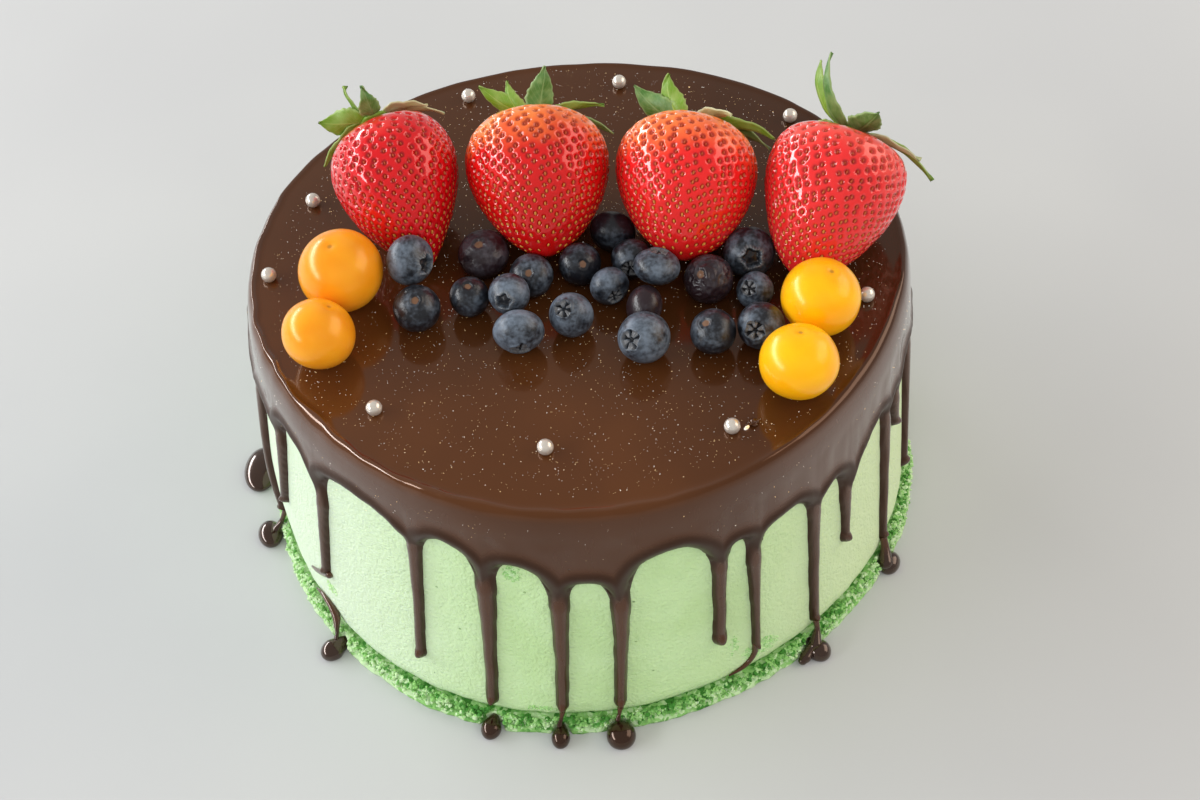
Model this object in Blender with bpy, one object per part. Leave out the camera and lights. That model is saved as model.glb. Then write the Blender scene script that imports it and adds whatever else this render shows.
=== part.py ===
"""A round drip cake topped with fresh fruit, modelled piece by piece.

The cake stands on its base at z = 0, its axis on Z and its front towards -Y. A bearing is an
angle in degrees round the cake, from the front towards +X. Sizes are in millimetres here, and
each mesh is scaled to metres as it is made.
"""

import math
import random
from typing import NamedTuple

import bmesh
import bpy
from mathutils import Vector

MM = 0.001
MERGE = 1e-7
CLEARANCE = 0.3


class Drip(NamedTuple):
    """A run of glaze down the side, and the arch of the curtain's edge up to the next one."""

    neck_bearing: float
    tip_bearing: float
    neck_height: float
    tip_height: float
    half_neck: float
    half_low: float
    bulb: float
    arch_rise: float
    arch_crest: float


class FootDrop(NamedTuple):
    """A chocolate drop on the surface: half its size along the border and outwards."""

    bearing: float
    distance: float
    half_length: float
    half_width: float
    height: float


class Strawberry(NamedTuple):
    """A strawberry on its flank: where its stalk end is, how its tip points, and its form."""

    x: float
    y: float
    bearing: float
    dip: float
    length: float
    radius: float
    shoulder: float
    taper: float
    bend_aside: float
    bend_up: float


class Sepal(NamedTuple):
    """A leaf of the calyx: its roll from straight up, its size, and its rise off the shoulder."""

    roll: float
    length: float
    half_width: float
    root_lift: float
    tip_lift: float


class Blueberry(NamedTuple):
    """A blueberry, and where its crown end, or its stalk scar, faces."""

    x: float
    y: float
    lift: float
    half_width: float
    half_height: float
    bearing: float
    elevation: float
    crowned: bool


class Physalis(NamedTuple):
    """A husked physalis, and where its stalk end faces."""

    x: float
    y: float
    half_width: float
    half_height: float
    bearing: float
    elevation: float


# The frosted cake: a slightly out-of-round drum that widens towards its foot.
TOP_HEIGHT = 93.9
SIDE_RADIUS_AT_TOP = 96.3
SIDE_RADIUS_AT_FOOT = 101.0
FOOT_SHIFT_X, FOOT_SHIFT_Y = -1.7, -2.4
# Each lobe: how many go round, how far it swells the outline, and the bearing of the first.
TOP_LOBES = ((2, 1.1, 100), (3, 1.6, 120))
FOOT_LOBES = ((2, 2.1, 65), (3, 2.8, 98))
# The left side bellies out a little: by how much, at which bearing and how widely.
BELLY, BELLY_BEARING, BELLY_SPREAD = 3.1, -84.0, 26.0
CAKE_COLUMNS = 48
UNDERCUT = 3.4
UNDERCUT_HEIGHT = 4.6
FOOT_LIP_HEIGHT = 6.6
EDGE_CHAMFER = 1.5

# The ragged border of frosting scraps pressed round the foot.
BORDER_COLUMNS = 96
BORDER_REACH = 4.0
BORDER_HEIGHT = 5.2
# The border thins towards the left: by what share, at which bearing and how widely.
BORDER_THINNING, THIN_BEARING, THIN_SPREAD = 0.55, -98.0, 20.0
BORDER_RAGGEDNESS = 0.55
BORDER_SEED = 12
HOLLOW_MARGIN = 0.75
HOLLOW_SIDES = 8

# The chocolate glaze: a poured cap with a round rim, and a curtain that ends in drips.
GLAZE_COLUMNS = 96
GLAZE_THICKNESS = 2.0
CURTAIN_THICKNESS = 1.9
CURTAIN_BEAD = 0.3
RIM_ROUND = 4.0
ARCH_SQUARENESS = 2.6
# Each drip on the front: bearing of its neck, bearing of its tip, height of its neck and of its
# tip, half its width at the neck and lower down, radius of its tip, then the arch that the
# curtain's edge makes up to the next drip: its rise, and where its crest lies on the way.
FRONT_DRIPS = (
    Drip(-79.4, -79.2, 68, 10, 2.0, 1.3, 1.4, 3.0, 0.5),
    Drip(-66.3, -69.1, 71, 36, 1.8, 1.4, 1.7, 6.0, 0.3),
    Drip(-52.2, -54.4, 71, 26, 1.9, 1.7, 1.6, 8.0, 0.5),
    Drip(-30.4, -31.4, 74, 19, 2.2, 1.7, 2.0, 4.0, 0.3),
    Drip(-17.9, -18.4, 70, 8, 2.9, 1.9, 1.8, 4.5, 0.3),
    Drip(-5.9, -6.4, 62, 8, 2.6, 1.9, 1.8, 3.4, 0.5),
    Drip(4.0, 3.3, 65, 8, 2.6, 1.9, 1.9, 8.5, 0.5),
    Drip(21.1, 21.3, 67, 24, 2.2, 1.9, 2.2, 3.5, 0.6),
    Drip(27.7, 28.6, 66, 11, 2.2, 1.5, 1.5, 4.0, 0.6),
    Drip(41.0, 42.0, 65, 8, 2.1, 1.7, 1.6, 4.8, 0.5),
    Drip(49.5, 50.1, 60, 32, 1.8, 1.3, 1.8, 5.0, 0.6),
    Drip(63.9, 63.8, 66, 9, 1.8, 1.4, 1.5, 2.2, 0.5),
    Drip(68.9, 70.2, 67, 49, 1.7, 1.4, 1.9, 5.0, 0.5),
    Drip(81.6, 80.2, 68, 11, 1.9, 1.4, 1.9, 3.0, 0.5),
    Drip(89.4, 89.4, 69, 56, 1.8, 1.6, 1.9, 4.0, 0.5),
)
BACK_SEED = 21
BACK_STEP = (13.0, 21.0)
BACK_NECK = (63.0, 72.0)
BACK_TIPS = (10.0, 22.0, 30.0, 44.0)
DRIP_THICKNESS = 2.3
DRIP_SIDES = 5
DRIP_INSET = 0.3

# Sugar pearls, sunk a little into the glaze: (x, y) of each.
PEARL_RADIUS = 2.3
PEARL_SUNK = 0.5
PEARLS = (
    (17.1, 80.7),
    (-32.4, 78.5),
    (70.6, 57.8),
    (-80.7, 31.8),
    (-92.0, -0.5),
    (-58.6, -56.8),
    (-11.5, -75.2),
    (39.5, -72.0),
    (83.1, -25.0),
)

# Chocolate drops on the surface at the foot: bearing, distance out, half its size along the
# border and outwards, and its height.
FOOT_DROPS = (
    FootDrop(-92.4, 111.6, 9.4, 6.2, 4.6),
    FootDrop(-77.6, 109.1, 5.3, 4.0, 4.4),
    FootDrop(-49.7, 109.3, 3.6, 4.4, 4.4),
    FootDrop(-18.6, 108.4, 3.1, 3.8, 4.2),
    FootDrop(-7.4, 108.5, 2.8, 3.6, 4.2),
    FootDrop(2.1, 108.6, 4.4, 4.8, 5.6),
    FootDrop(38.8, 106.0, 3.6, 4.0, 4.6),
    FootDrop(61.3, 105.8, 4.2, 3.4, 4.6),
)
FOOT_DROP_SIDES = 8

# Strawberries lying on their flanks, tips to the front: x and y of the stalk end, the bearing
# that the tip points to, how far it points down, length, widest radius, how square the shoulder
# is and how fast the flanks close in, and the bend of the tip sideways and upwards.
STRAWBERRIES = (
    Strawberry(-57.4, 33.1, 23.6, 33.7, 48.0, 18.8, 0.41, 0.87, -2.9, -0.6),
    Strawberry(-9.9, 31.0, -0.8, 22.9, 43.1, 21.2, 0.29, 0.65, 1.5, -1.1),
    Strawberry(36.3, 24.1, -12.0, 22.0, 42.0, 20.8, 0.30, 0.62, 2.0, -1.0),
    Strawberry(82.3, 12.8, -29.8, 34.0, 45.3, 20.3, 0.25, 0.65, 0.6, 1.4),
)
STRAWBERRY_COLUMNS = 16
STRAWBERRY_ROWS = 13

# Sepals of each strawberry: roll round the stalk end from straight up towards the viewer's
# right, length, half width, then how far it rises off the shoulder at its root and at its tip.
SEPALS = (
    (
        Sepal(-100, 14.5, 5.4, 10, 34),
        Sepal(-66, 13, 0.9, 45, 98),
        Sepal(-12, 13.5, 3.3, 0, 62),
        Sepal(78, 14, 3.6, 6, -26),
        Sepal(100, 20, 3.0, 6, -32),
        Sepal(-128, 20, 3.0, 0, -30),
    ),
    (
        Sepal(-76, 17.5, 3.6, 30, 40),
        Sepal(-60, 14, 2.8, 22, 98),
        Sepal(24, 15, 4.4, 50, 70),
        Sepal(80, 19, 2.8, 20, -10),
        Sepal(97, 22, 2.8, 10, -35),
        Sepal(150, 15, 3.0, 10, 0),
    ),
    (
        Sepal(-84, 21, 5.4, 18, 45),
        Sepal(-60, 17, 4.2, 30, 98),
        Sepal(40, 18, 3.4, 0, -25),
        Sepal(80, 24, 3.6, 6, -30),
        Sepal(99, 22.5, 3.4, 12, -34),
        Sepal(158, 15, 3.0, 10, 0),
    ),
    (
        Sepal(-72, 24, 3.2, 14, 88),
        Sepal(-42, 26, 3.0, 5, 98),
        Sepal(30, 17, 4.8, 0, 22),
        Sepal(108, 25, 3.0, 10, -35),
        Sepal(84, 20, 2.6, 0, -18),
        Sepal(-96, 12, 2.8, 4, -10),
        Sepal(160, 15, 3.0, 10, 0),
    ),
)
SEPAL_THICKNESS = 0.7
SEPAL_STATIONS = 3
SEPAL_FOLD = 0.35
HUB_RADIUS = 4.4
HUB_THICKNESS = 1.6
STALK_RADIUS = 1.1
STALK_LENGTH = 3.0

# Blueberries: x, y, lift off the glaze, half width, half height, the bearing and the elevation
# that the crown end faces, and True where that end has a crown and not a stalk scar.
BLUEBERRIES = (
    Blueberry(-48.2, -10.8, 6.0, 7.4, 6.4, 55, 10, True),
    Blueberry(-46.7, -24.1, 0.0, 6.8, 6.8, 4, 66, False),
    Blueberry(-27.4, -2.8, 0.0, 7.7, 6.3, -33, 71, False),
    Blueberry(-31.6, -20.0, 0.0, 5.8, 6.1, 0, 77, False),
    Blueberry(-13.6, -12.8, 0.0, 6.5, 5.6, -11, 53, False),
    Blueberry(-19.9, -23.1, 3.2, 6.0, 5.9, -17, 21, True),
    Blueberry(-17.6, -36.3, 0.0, 7.3, 6.0, 0, -23, True),
    Blueberry(0.8, -9.4, 0.0, 6.3, 5.9, 13, 42, False),
    Blueberry(-2.5, -30.8, 0.0, 6.3, 7.0, -39, 58, True),
    Blueberry(11.1, 3.0, 0.0, 6.9, 5.9, 160, 20, False),
    Blueberry(9.0, -19.0, 0.0, 5.8, 5.1, 17, -2, True),
    Blueberry(16.1, -8.7, 0.0, 6.2, 5.4, -10, 8, True),
    Blueberry(22.9, -18.3, 6.2, 6.8, 5.2, 156, 65, True),
    Blueberry(37.6, -20.0, 0.0, 7.3, 6.8, -43, 52, False),
    Blueberry(50.3, -10.5, 0.0, 7.6, 7.0, 2, 28, True),
    Blueberry(50.7, -24.0, 0.0, 5.5, 4.8, -44, 47, True),
    Blueberry(18.5, -28.6, 0.0, 6.2, 5.1, 90, -20, False),
    Blueberry(17.6, -42.1, 0.0, 7.3, 7.8, -42, 32, True),
    Blueberry(37.1, -40.6, 0.0, 6.5, 6.4, -55, 62, False),
    Blueberry(50.7, -39.9, 0.0, 6.7, 7.3, -25, 31, True),
)
BLUEBERRY_COLUMNS = 9
# The crown's crater and the stalk scar: radius, rise of the lip, and depth, as shares of the size.
CROWN = (0.42, 0.10, 0.22)
SCAR = (0.22, 0.01, 0.07)

# Physalis: x, y, half width, half height, and the bearing and elevation of the stalk end.
PHYSALIS = (
    Physalis(-68.5, -12.0, 12.5, 12.0, -43, 80),
    Physalis(-73.9, -35.1, 10.6, 9.9, 120, 60),
    Physalis(68.1, -34.4, 11.5, 11.1, 78, 76),
    Physalis(59.1, -58.0, 11.2, 10.4, 170, 80),
)
PHYSALIS_COLUMNS = 12
PHYSALIS_ROWS = 7
STALK_DIMPLE = 0.97

# Colours, as the renderer takes them: linear red, green, blue.
MINT = (0.47, 0.72, 0.36)
DEEP_MINT = (0.22, 0.56, 0.14)
CHOCOLATE = (0.045, 0.018, 0.010)
STRAWBERRY_RED = (0.62, 0.02, 0.012)
LEAF_GREEN = (0.13, 0.30, 0.05)
BLUEBERRY_BLUE = (0.018, 0.024, 0.045)
PHYSALIS_ORANGE = (0.92, 0.36, 0.012)


def clear_scene():
    """Remove every object that the scene starts with."""
    for thing in list(bpy.data.objects):
        bpy.data.objects.remove(thing, do_unlink=True)


def finish(name, colour, roughness, metallic=0.0):
    """A Principled material of one colour."""
    material = bpy.data.materials.new(name)
    material.use_nodes = True
    shader = material.node_tree.nodes["Principled BSDF"]
    shader.inputs["Base Color"].default_value = (*colour, 1.0)
    shader.inputs["Roughness"].default_value = roughness
    shader.inputs["Metallic"].default_value = metallic
    material.diffuse_color = (*colour, 1.0)
    return material


def blend(start, end, share):
    """The value that lies the given share of the way from start to end."""
    return start + (end - start) * share


def heading(bearing, elevation=0.0):
    """The unit vector that points along a bearing, tipped up by an elevation."""
    turn, tip = math.radians(bearing), math.radians(elevation)
    return Vector((math.sin(turn) * math.cos(tip), -math.cos(turn) * math.cos(tip), math.sin(tip)))


def swell(lobes, bearing):
    """How far the lobes push the outline out at a bearing."""
    return sum(depth * math.cos(math.radians(count * (bearing - first))) for count, depth, first in lobes)


def belly(bearing, down):
    """How far the left side bellies out at a bearing and a share of the way down."""
    aside = (bearing - BELLY_BEARING + 180) % 360 - 180
    bulge = math.sin(math.pi * min(max(down, 0.0) ** 1.6, 0.85))
    return BELLY * math.exp(-((aside / BELLY_SPREAD) ** 2)) * bulge


def side_point(bearing, height, proud=0.0):
    """The point of the frosted side at a bearing and height, moved outwards by proud."""
    down = 1 - height / TOP_HEIGHT
    radius_at_top = SIDE_RADIUS_AT_TOP + swell(TOP_LOBES, bearing)
    radius_at_foot = SIDE_RADIUS_AT_FOOT + swell(FOOT_LOBES, bearing)
    out = heading(bearing) * (blend(radius_at_top, radius_at_foot, down) + belly(bearing, down) + proud)
    return Vector((out.x + FOOT_SHIFT_X * down, out.y + FOOT_SHIFT_Y * down, height))


def bent_grid(columns, rows, place, tube=False):
    """A grid bent into a closed skin by a rule.

    place(column, row) gives each point. Column 0 meets the last one. Row 0 and the last row are
    single points, or, on a tube, the same ring.
    """
    skin = bmesh.new()
    bmesh.ops.create_grid(skin, x_segments=columns, y_segments=rows, size=0.5)
    for vert in skin.verts:
        column = round((vert.co.x + 0.5) * columns) % columns
        row = round((vert.co.y + 0.5) * rows)
        vert.co = place(column, row % rows if tube else row) * MM
    bmesh.ops.remove_doubles(skin, verts=skin.verts, dist=MERGE)
    bmesh.ops.recalc_face_normals(skin, faces=skin.faces)
    return skin


def as_object(name, skin, material, parent=None):
    """The object that a bmesh becomes, shaded smooth."""
    mesh = bpy.data.meshes.new(name)
    skin.to_mesh(mesh)
    skin.free()
    mesh.shade_smooth()
    mesh.materials.append(material)
    thing = bpy.data.objects.new(name, mesh)
    thing.parent = parent
    bpy.context.scene.collection.objects.link(thing)
    return thing


def combine(body, pieces, operation):
    """Fuse the pieces into the body, or cut them from it, by one Boolean, and remove them."""
    group = bpy.data.collections.new(body.name + "_pieces")
    bpy.context.scene.collection.children.link(group)
    for piece in pieces:
        bpy.context.scene.collection.objects.unlink(piece)
        group.objects.link(piece)
    boolean = body.modifiers.new("Combine", "BOOLEAN")
    boolean.operation = operation
    boolean.operand_type = "COLLECTION"
    boolean.collection = group
    boolean.solver = "MANIFOLD"
    graph = bpy.context.evaluated_depsgraph_get()
    combined = bpy.data.meshes.new_from_object(body.evaluated_get(graph), depsgraph=graph)
    body.modifiers.remove(boolean)
    body.data = combined
    for piece in pieces:
        bpy.data.objects.remove(piece, do_unlink=True)
    bpy.data.collections.remove(group)


def make_cake(material, parent):
    """The frosted drum, undercut at its foot where the border tucks in."""
    top = TOP_HEIGHT - GLAZE_THICKNESS - CLEARANCE
    rings = (
        (-UNDERCUT, 0.0),
        (-UNDERCUT, UNDERCUT_HEIGHT),
        (-0.7, UNDERCUT_HEIGHT + 0.6),
        (0.0, FOOT_LIP_HEIGHT),
        (0.0, blend(FOOT_LIP_HEIGHT, top, 1 / 3)),
        (0.0, blend(FOOT_LIP_HEIGHT, top, 2 / 3)),
        (0.0, top - EDGE_CHAMFER),
        (-EDGE_CHAMFER, top),
    )

    def place(column, row):
        if row == 0:
            return Vector((FOOT_SHIFT_X, FOOT_SHIFT_Y, 0))
        if row > len(rings):
            return Vector((0, 0, top))
        proud, height = rings[row - 1]
        return side_point(360 * column / CAKE_COLUMNS, height, proud)

    return as_object("frosted_cake", bent_grid(CAKE_COLUMNS, len(rings) + 1, place), material, parent)


def foot_drop_skin(drop, margin=0.0, sides=FOOT_DROP_SIDES):
    """The skin of a chocolate drop, flat underneath, or of a hollow that clears it by a margin."""
    centre = heading(drop.bearing) * drop.distance
    along, out = heading(drop.bearing + 90), heading(drop.bearing)
    rings = ((0.86, -margin), (1.0, 0.30 * drop.height), (0.86, 0.66 * drop.height), (0.5, 0.92 * drop.height))

    def place(column, row):
        if row == 0 or row > len(rings):
            return centre + Vector((0, 0, -margin if row == 0 else drop.height + margin))
        share, rise = rings[row - 1]
        turn = 2 * math.pi * (column + 0.5) / sides
        across = along * ((drop.half_length * share + margin) * math.cos(turn))
        outwards = out * ((drop.half_width * share + margin) * math.sin(turn))
        return centre + across + outwards + Vector((0, 0, rise))

    return bent_grid(sides, len(rings) + 1, place)


def make_foot_drop(number, drop, material, parent):
    """One chocolate drop that ran down and set at the foot."""
    return as_object(f"foot_drop_{number}", foot_drop_skin(drop), material, parent)


def make_border(material, parent):
    """The ragged border: a low ring with an uneven crest and edge, hollowed beside the drops."""
    rough = random.Random(BORDER_SEED)
    scraps = [[rough.uniform(-1, 1) for _ in range(3)] for _ in range(BORDER_COLUMNS)]
    tuck = -UNDERCUT + CLEARANCE

    def place(column, row):
        bearing = 360 * column / BORDER_COLUMNS
        crest, shoulder, toe = (BORDER_RAGGEDNESS * value for value in scraps[column])
        aside = (bearing - THIN_BEARING + 180) % 360 - 180
        reach = BORDER_REACH * (1 - BORDER_THINNING * math.exp(-((aside / THIN_SPREAD) ** 2)))
        ring = (
            (tuck, 0.0),
            (tuck, UNDERCUT_HEIGHT - 1.0),
            (CLEARANCE + 0.8, BORDER_HEIGHT - 0.3 + crest * 0.7),
            (reach * 0.62 + shoulder, BORDER_HEIGHT * 0.82 + crest),
            (reach + toe, 1.1 + shoulder * 0.6),
            (reach * 0.94 + toe, 0.0),
        )
        proud, height = ring[row]
        return side_point(bearing, height, proud)

    border = as_object("crumb_border", bent_grid(BORDER_COLUMNS, 6, place, tube=True), material, parent)
    hollows = []
    for number, drop in enumerate(FOOT_DROPS):
        skin = foot_drop_skin(drop, HOLLOW_MARGIN, HOLLOW_SIDES)
        hollows.append(as_object(f"hollow_{number}", skin, material))
    combine(border, hollows, "DIFFERENCE")
    return border


def back_drips():
    """Drips round the back, spaced and sized by a seeded rule between the last and first."""
    chance = random.Random(BACK_SEED)
    last, first = FRONT_DRIPS[-1].neck_bearing, FRONT_DRIPS[0].neck_bearing + 360
    drips = []
    bearing = last + chance.uniform(*BACK_STEP)
    while bearing < first - BACK_STEP[0]:
        neck = chance.uniform(*BACK_NECK)
        tip = chance.choice(BACK_TIPS) + chance.uniform(-3, 3)
        lower = chance.uniform(1.3, 1.7)
        lean = chance.uniform(-1, 1)
        rise, crest = chance.uniform(3, 8), chance.uniform(0.35, 0.65)
        drips.append(Drip(bearing, bearing + lean, neck, tip, lower + 0.5, lower, lower + 0.2, rise, crest))
        bearing += chance.uniform(*BACK_STEP)
    return drips


def curtain_edge(bearing, drips):
    """The height of the curtain's lower edge: an arch from each drip's neck to the next."""
    start = drips[0].neck_bearing
    bearing = start + (bearing - start) % 360
    this = [drip for drip in drips if drip.neck_bearing <= bearing][-1]
    later = [drip for drip in drips if drip.neck_bearing > bearing]
    following = later[0] if later else drips[0]._replace(neck_bearing=start + 360)
    share = (bearing - this.neck_bearing) / (following.neck_bearing - this.neck_bearing)
    skewed = share ** (math.log(0.5) / math.log(this.arch_crest))
    arch = 1 - abs(2 * skewed - 1) ** ARCH_SQUARENESS
    return blend(this.neck_height, following.neck_height, share) + this.arch_rise * arch


def make_drip(number, drip, material):
    """One drip: a half-round run that flares into the curtain and ends in a bulb."""
    neck, tip, half_neck, half_low = drip.neck_height, drip.tip_height, drip.half_neck, drip.half_low
    bulb = drip.bulb
    run = neck - tip - 2.2 * bulb
    stations = (
        (neck + 7.0, 2.1 * half_neck, 0.50 * DRIP_THICKNESS),
        (neck + 3.0, 1.7 * half_neck, 0.85 * DRIP_THICKNESS),
        (neck - 0.5, 1.2 * half_neck, DRIP_THICKNESS),
        (neck - min(4.0, 0.3 * run), half_neck, 0.97 * DRIP_THICKNESS),
        (neck - 0.6 * run, blend(half_neck, half_low, 0.7), 0.85 * DRIP_THICKNESS),
        (tip + 2.2 * bulb, half_low, 0.72 * DRIP_THICKNESS),
        (tip + bulb, bulb, 0.6 * DRIP_THICKNESS + 0.35 * bulb),
        (tip + 0.3 * bulb, 0.68 * bulb, 0.4 * DRIP_THICKNESS + 0.2 * bulb),
    )
    back = CLEARANCE + DRIP_INSET

    def place(column, row):
        if row == 0:
            return side_point(drip.neck_bearing, neck + 8.0, back + 0.5)
        if row > len(stations):
            return side_point(drip.tip_bearing, tip, back + 0.3 * bulb)
        height, half_width, thickness = stations[row - 1]
        share = min(max((neck - height) / (neck - tip), 0.0), 1.0)
        middle = blend(drip.neck_bearing, drip.tip_bearing, share**1.5)
        turn = math.pi * column / (DRIP_SIDES - 1)
        aside = math.degrees(half_width * math.cos(turn) / SIDE_RADIUS_AT_FOOT)
        return side_point(middle + aside, height, back + thickness * math.sin(turn) ** 0.8)

    return as_object(f"drip_{number}", bent_grid(DRIP_SIDES, len(stations) + 1, place), material)


def make_pearl(number, x, y, material):
    """One sugar pearl, sunk a little into the top of the glaze."""
    ball = bmesh.new()
    bmesh.ops.create_uvsphere(ball, u_segments=8, v_segments=5, radius=PEARL_RADIUS * MM)
    place = Vector((x, y, TOP_HEIGHT + PEARL_RADIUS - PEARL_SUNK)) * MM
    bmesh.ops.translate(ball, vec=place, verts=ball.verts)
    return as_object(f"pearl_{number}", ball, material)


def make_glaze(material, parent):
    """The poured cap, round rim and curtain, with the drips and the pearls fused on."""
    drips = list(FRONT_DRIPS) + back_drips()
    under = TOP_HEIGHT - GLAZE_THICKNESS

    def place(column, row):
        bearing = 360 * column / GLAZE_COLUMNS
        edge = curtain_edge(bearing, drips)
        face = CLEARANCE + CURTAIN_THICKNESS
        rim = TOP_HEIGHT - RIM_ROUND
        rings = (
            (face - RIM_ROUND, TOP_HEIGHT),
            (face - RIM_ROUND * 0.5, rim + RIM_ROUND * 0.866),
            (face - RIM_ROUND * 0.134, rim + RIM_ROUND * 0.5),
            (face, rim),
            (face, blend(rim, edge, 0.55)),
            (face + CURTAIN_BEAD, edge + 3.0),
            (face - 0.5, edge + 0.6),
            (CLEARANCE, edge),
            (CLEARANCE, under),
        )
        if row in (0, len(rings) + 1):
            return Vector((0, 0, TOP_HEIGHT if row == 0 else under))
        proud, height = rings[row - 1]
        return side_point(bearing, height, proud)

    glaze = as_object("chocolate_glaze", bent_grid(GLAZE_COLUMNS, 10, place), material, parent)
    pieces = [make_drip(number, drip, material) for number, drip in enumerate(drips)]
    pieces += [make_pearl(number, x, y, material) for number, (x, y) in enumerate(PEARLS)]
    combine(glaze, pieces, "UNION")
    return glaze


class StrawberryForm:
    """The shape of one strawberry: an axis that bends a little, and a radius along it."""

    def __init__(self, values):
        self.values = values
        self.axis = heading(values.bearing, -values.dip)
        self.side = heading(values.bearing + 90)
        self.top = self.side.cross(self.axis)
        if self.top.z < 0:
            self.top.negate()
        self.head = Vector((values.x, values.y, 0))
        lowest = min(self.point(column, row).z for column in range(24) for row in range(25))
        self.head.z = TOP_HEIGHT + CLEARANCE - lowest

    def radius_at(self, share):
        """The radius at a share of the length, from the stalk end to the tip."""
        form = self.values
        widest = form.shoulder / (form.shoulder + form.taper)
        closing = ((1 - share) / (1 - widest)) ** form.taper
        return form.radius * (share / widest) ** form.shoulder * closing

    def point(self, column, row, columns=24, rows=24):
        """A point of the skin, with rows closer together at both ends."""
        form = self.values
        share = (1 - math.cos(math.pi * row / rows)) / 2
        turn = 2 * math.pi * column / columns
        bend = self.side * form.bend_aside + self.top * form.bend_up
        centre = self.head + self.axis * (share * form.length) + bend * share**2
        if row in (0, rows):
            return centre
        outwards = self.side * math.cos(turn) + self.top * math.sin(turn)
        return centre + outwards * self.radius_at(share)


def make_strawberry(number, form, material, parent):
    """One strawberry's flesh."""
    columns, rows = STRAWBERRY_COLUMNS, STRAWBERRY_ROWS

    def place(column, row):
        return form.point(column, row, columns, rows)

    return as_object(f"strawberry_{number}", bent_grid(columns, rows, place), material, parent)


def make_sepal(name, form, sepal, material):
    """One sepal: a thin pointed leaf folded along its middle, both faces split alike."""
    turn = math.radians(sepal.roll)
    out = form.top * math.cos(turn) + form.side * math.sin(turn)
    across = form.side * math.cos(turn) - form.top * math.sin(turn)
    back = -form.axis
    widths = (0.55, 1.0, 0.72, 0.0)
    leaf = bmesh.new()
    bmesh.ops.create_grid(leaf, x_segments=2, y_segments=SEPAL_STATIONS, size=0.5)
    for vert in leaf.verts:
        side = round(vert.co.x * 2)
        station = round((vert.co.y + 0.5) * SEPAL_STATIONS)
        reach, rise = HUB_RADIUS * 0.55, 0.9
        for step in range(station * 4):
            lift = math.radians(blend(sepal.root_lift, sepal.tip_lift, step / (SEPAL_STATIONS * 4)))
            reach += math.cos(lift) * sepal.length / (SEPAL_STATIONS * 4)
            rise += math.sin(lift) * sepal.length / (SEPAL_STATIONS * 4)
        spread = sepal.half_width * widths[station]
        fold = abs(side) * spread * SEPAL_FOLD
        spine = form.head + out * reach + back * rise
        vert.co = (spine + across * (side * spread) + back * fold) * MM
    bmesh.ops.remove_doubles(leaf, verts=leaf.verts, dist=MERGE)
    bmesh.ops.triangulate(leaf, faces=leaf.faces)
    bmesh.ops.solidify(leaf, geom=leaf.faces[:], thickness=SEPAL_THICKNESS * MM)
    bmesh.ops.recalc_face_normals(leaf, faces=leaf.faces)
    return as_object(name, leaf, material)


def make_calyx(number, form, sepals, material, parent):
    """The green crown of one strawberry: a low hub, a cut stalk and the sepals."""
    rings = (
        (HUB_RADIUS * 0.8, 0.5),
        (HUB_RADIUS, 1.1),
        (HUB_RADIUS * 0.7, 0.6 + HUB_THICKNESS),
        (STALK_RADIUS, 1.0 + HUB_THICKNESS),
        (STALK_RADIUS, 1.0 + HUB_THICKNESS + STALK_LENGTH),
    )

    def place(column, row):
        if row == 0 or row > len(rings):
            rise = 0.5 if row == 0 else rings[-1][1]
            return form.head - form.axis * rise
        radius, rise = rings[row - 1]
        turn = 2 * math.pi * column / 8
        outwards = form.side * math.cos(turn) + form.top * math.sin(turn)
        return form.head + outwards * radius - form.axis * rise

    calyx = as_object(f"calyx_{number}", bent_grid(8, len(rings) + 1, place), material, parent)
    leaves = [make_sepal(f"sepal_{number}_{n}", form, sepal, material) for n, sepal in enumerate(sepals)]
    combine(calyx, leaves, "UNION")
    return calyx


def rest_on_glaze(thing, fruit, pole, lift=0.0):
    """Place a squashed ball so that it rests on the glaze, its pole along a vector."""
    below = math.hypot(fruit.half_width * math.sqrt(1 - pole.z**2), fruit.half_height * pole.z)
    thing.location = Vector((fruit.x, fruit.y, TOP_HEIGHT + CLEARANCE + below + lift)) * MM
    thing.rotation_euler = pole.to_track_quat("Z", "Y").to_euler()


def make_blueberry(number, berry, material, parent):
    """One blueberry with a crater at its crown, or a shallow stalk scar."""
    mouth, rise, depth = CROWN if berry.crowned else SCAR
    latitudes = (38, 4, -36, -66)
    crest = math.sqrt(1 - mouth**2)
    rings = [(mouth * 0.62, crest - depth * 0.6), (mouth, crest + rise)]
    rings += [(math.cos(math.radians(at)), math.sin(math.radians(at))) for at in latitudes]

    def place(column, row):
        if row == 0:
            return Vector((0, 0, berry.half_height * (crest - depth)))
        if row > len(rings):
            return Vector((0, 0, -berry.half_height))
        share, up = rings[row - 1]
        turn = 2 * math.pi * column / BLUEBERRY_COLUMNS
        radius = berry.half_width * share
        return Vector((radius * math.cos(turn), radius * math.sin(turn), berry.half_height * up))

    fruit = as_object(f"blueberry_{number:02d}", bent_grid(BLUEBERRY_COLUMNS, 7, place), material, parent)
    rest_on_glaze(fruit, berry, heading(berry.bearing, berry.elevation), berry.lift)
    return fruit


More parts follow.
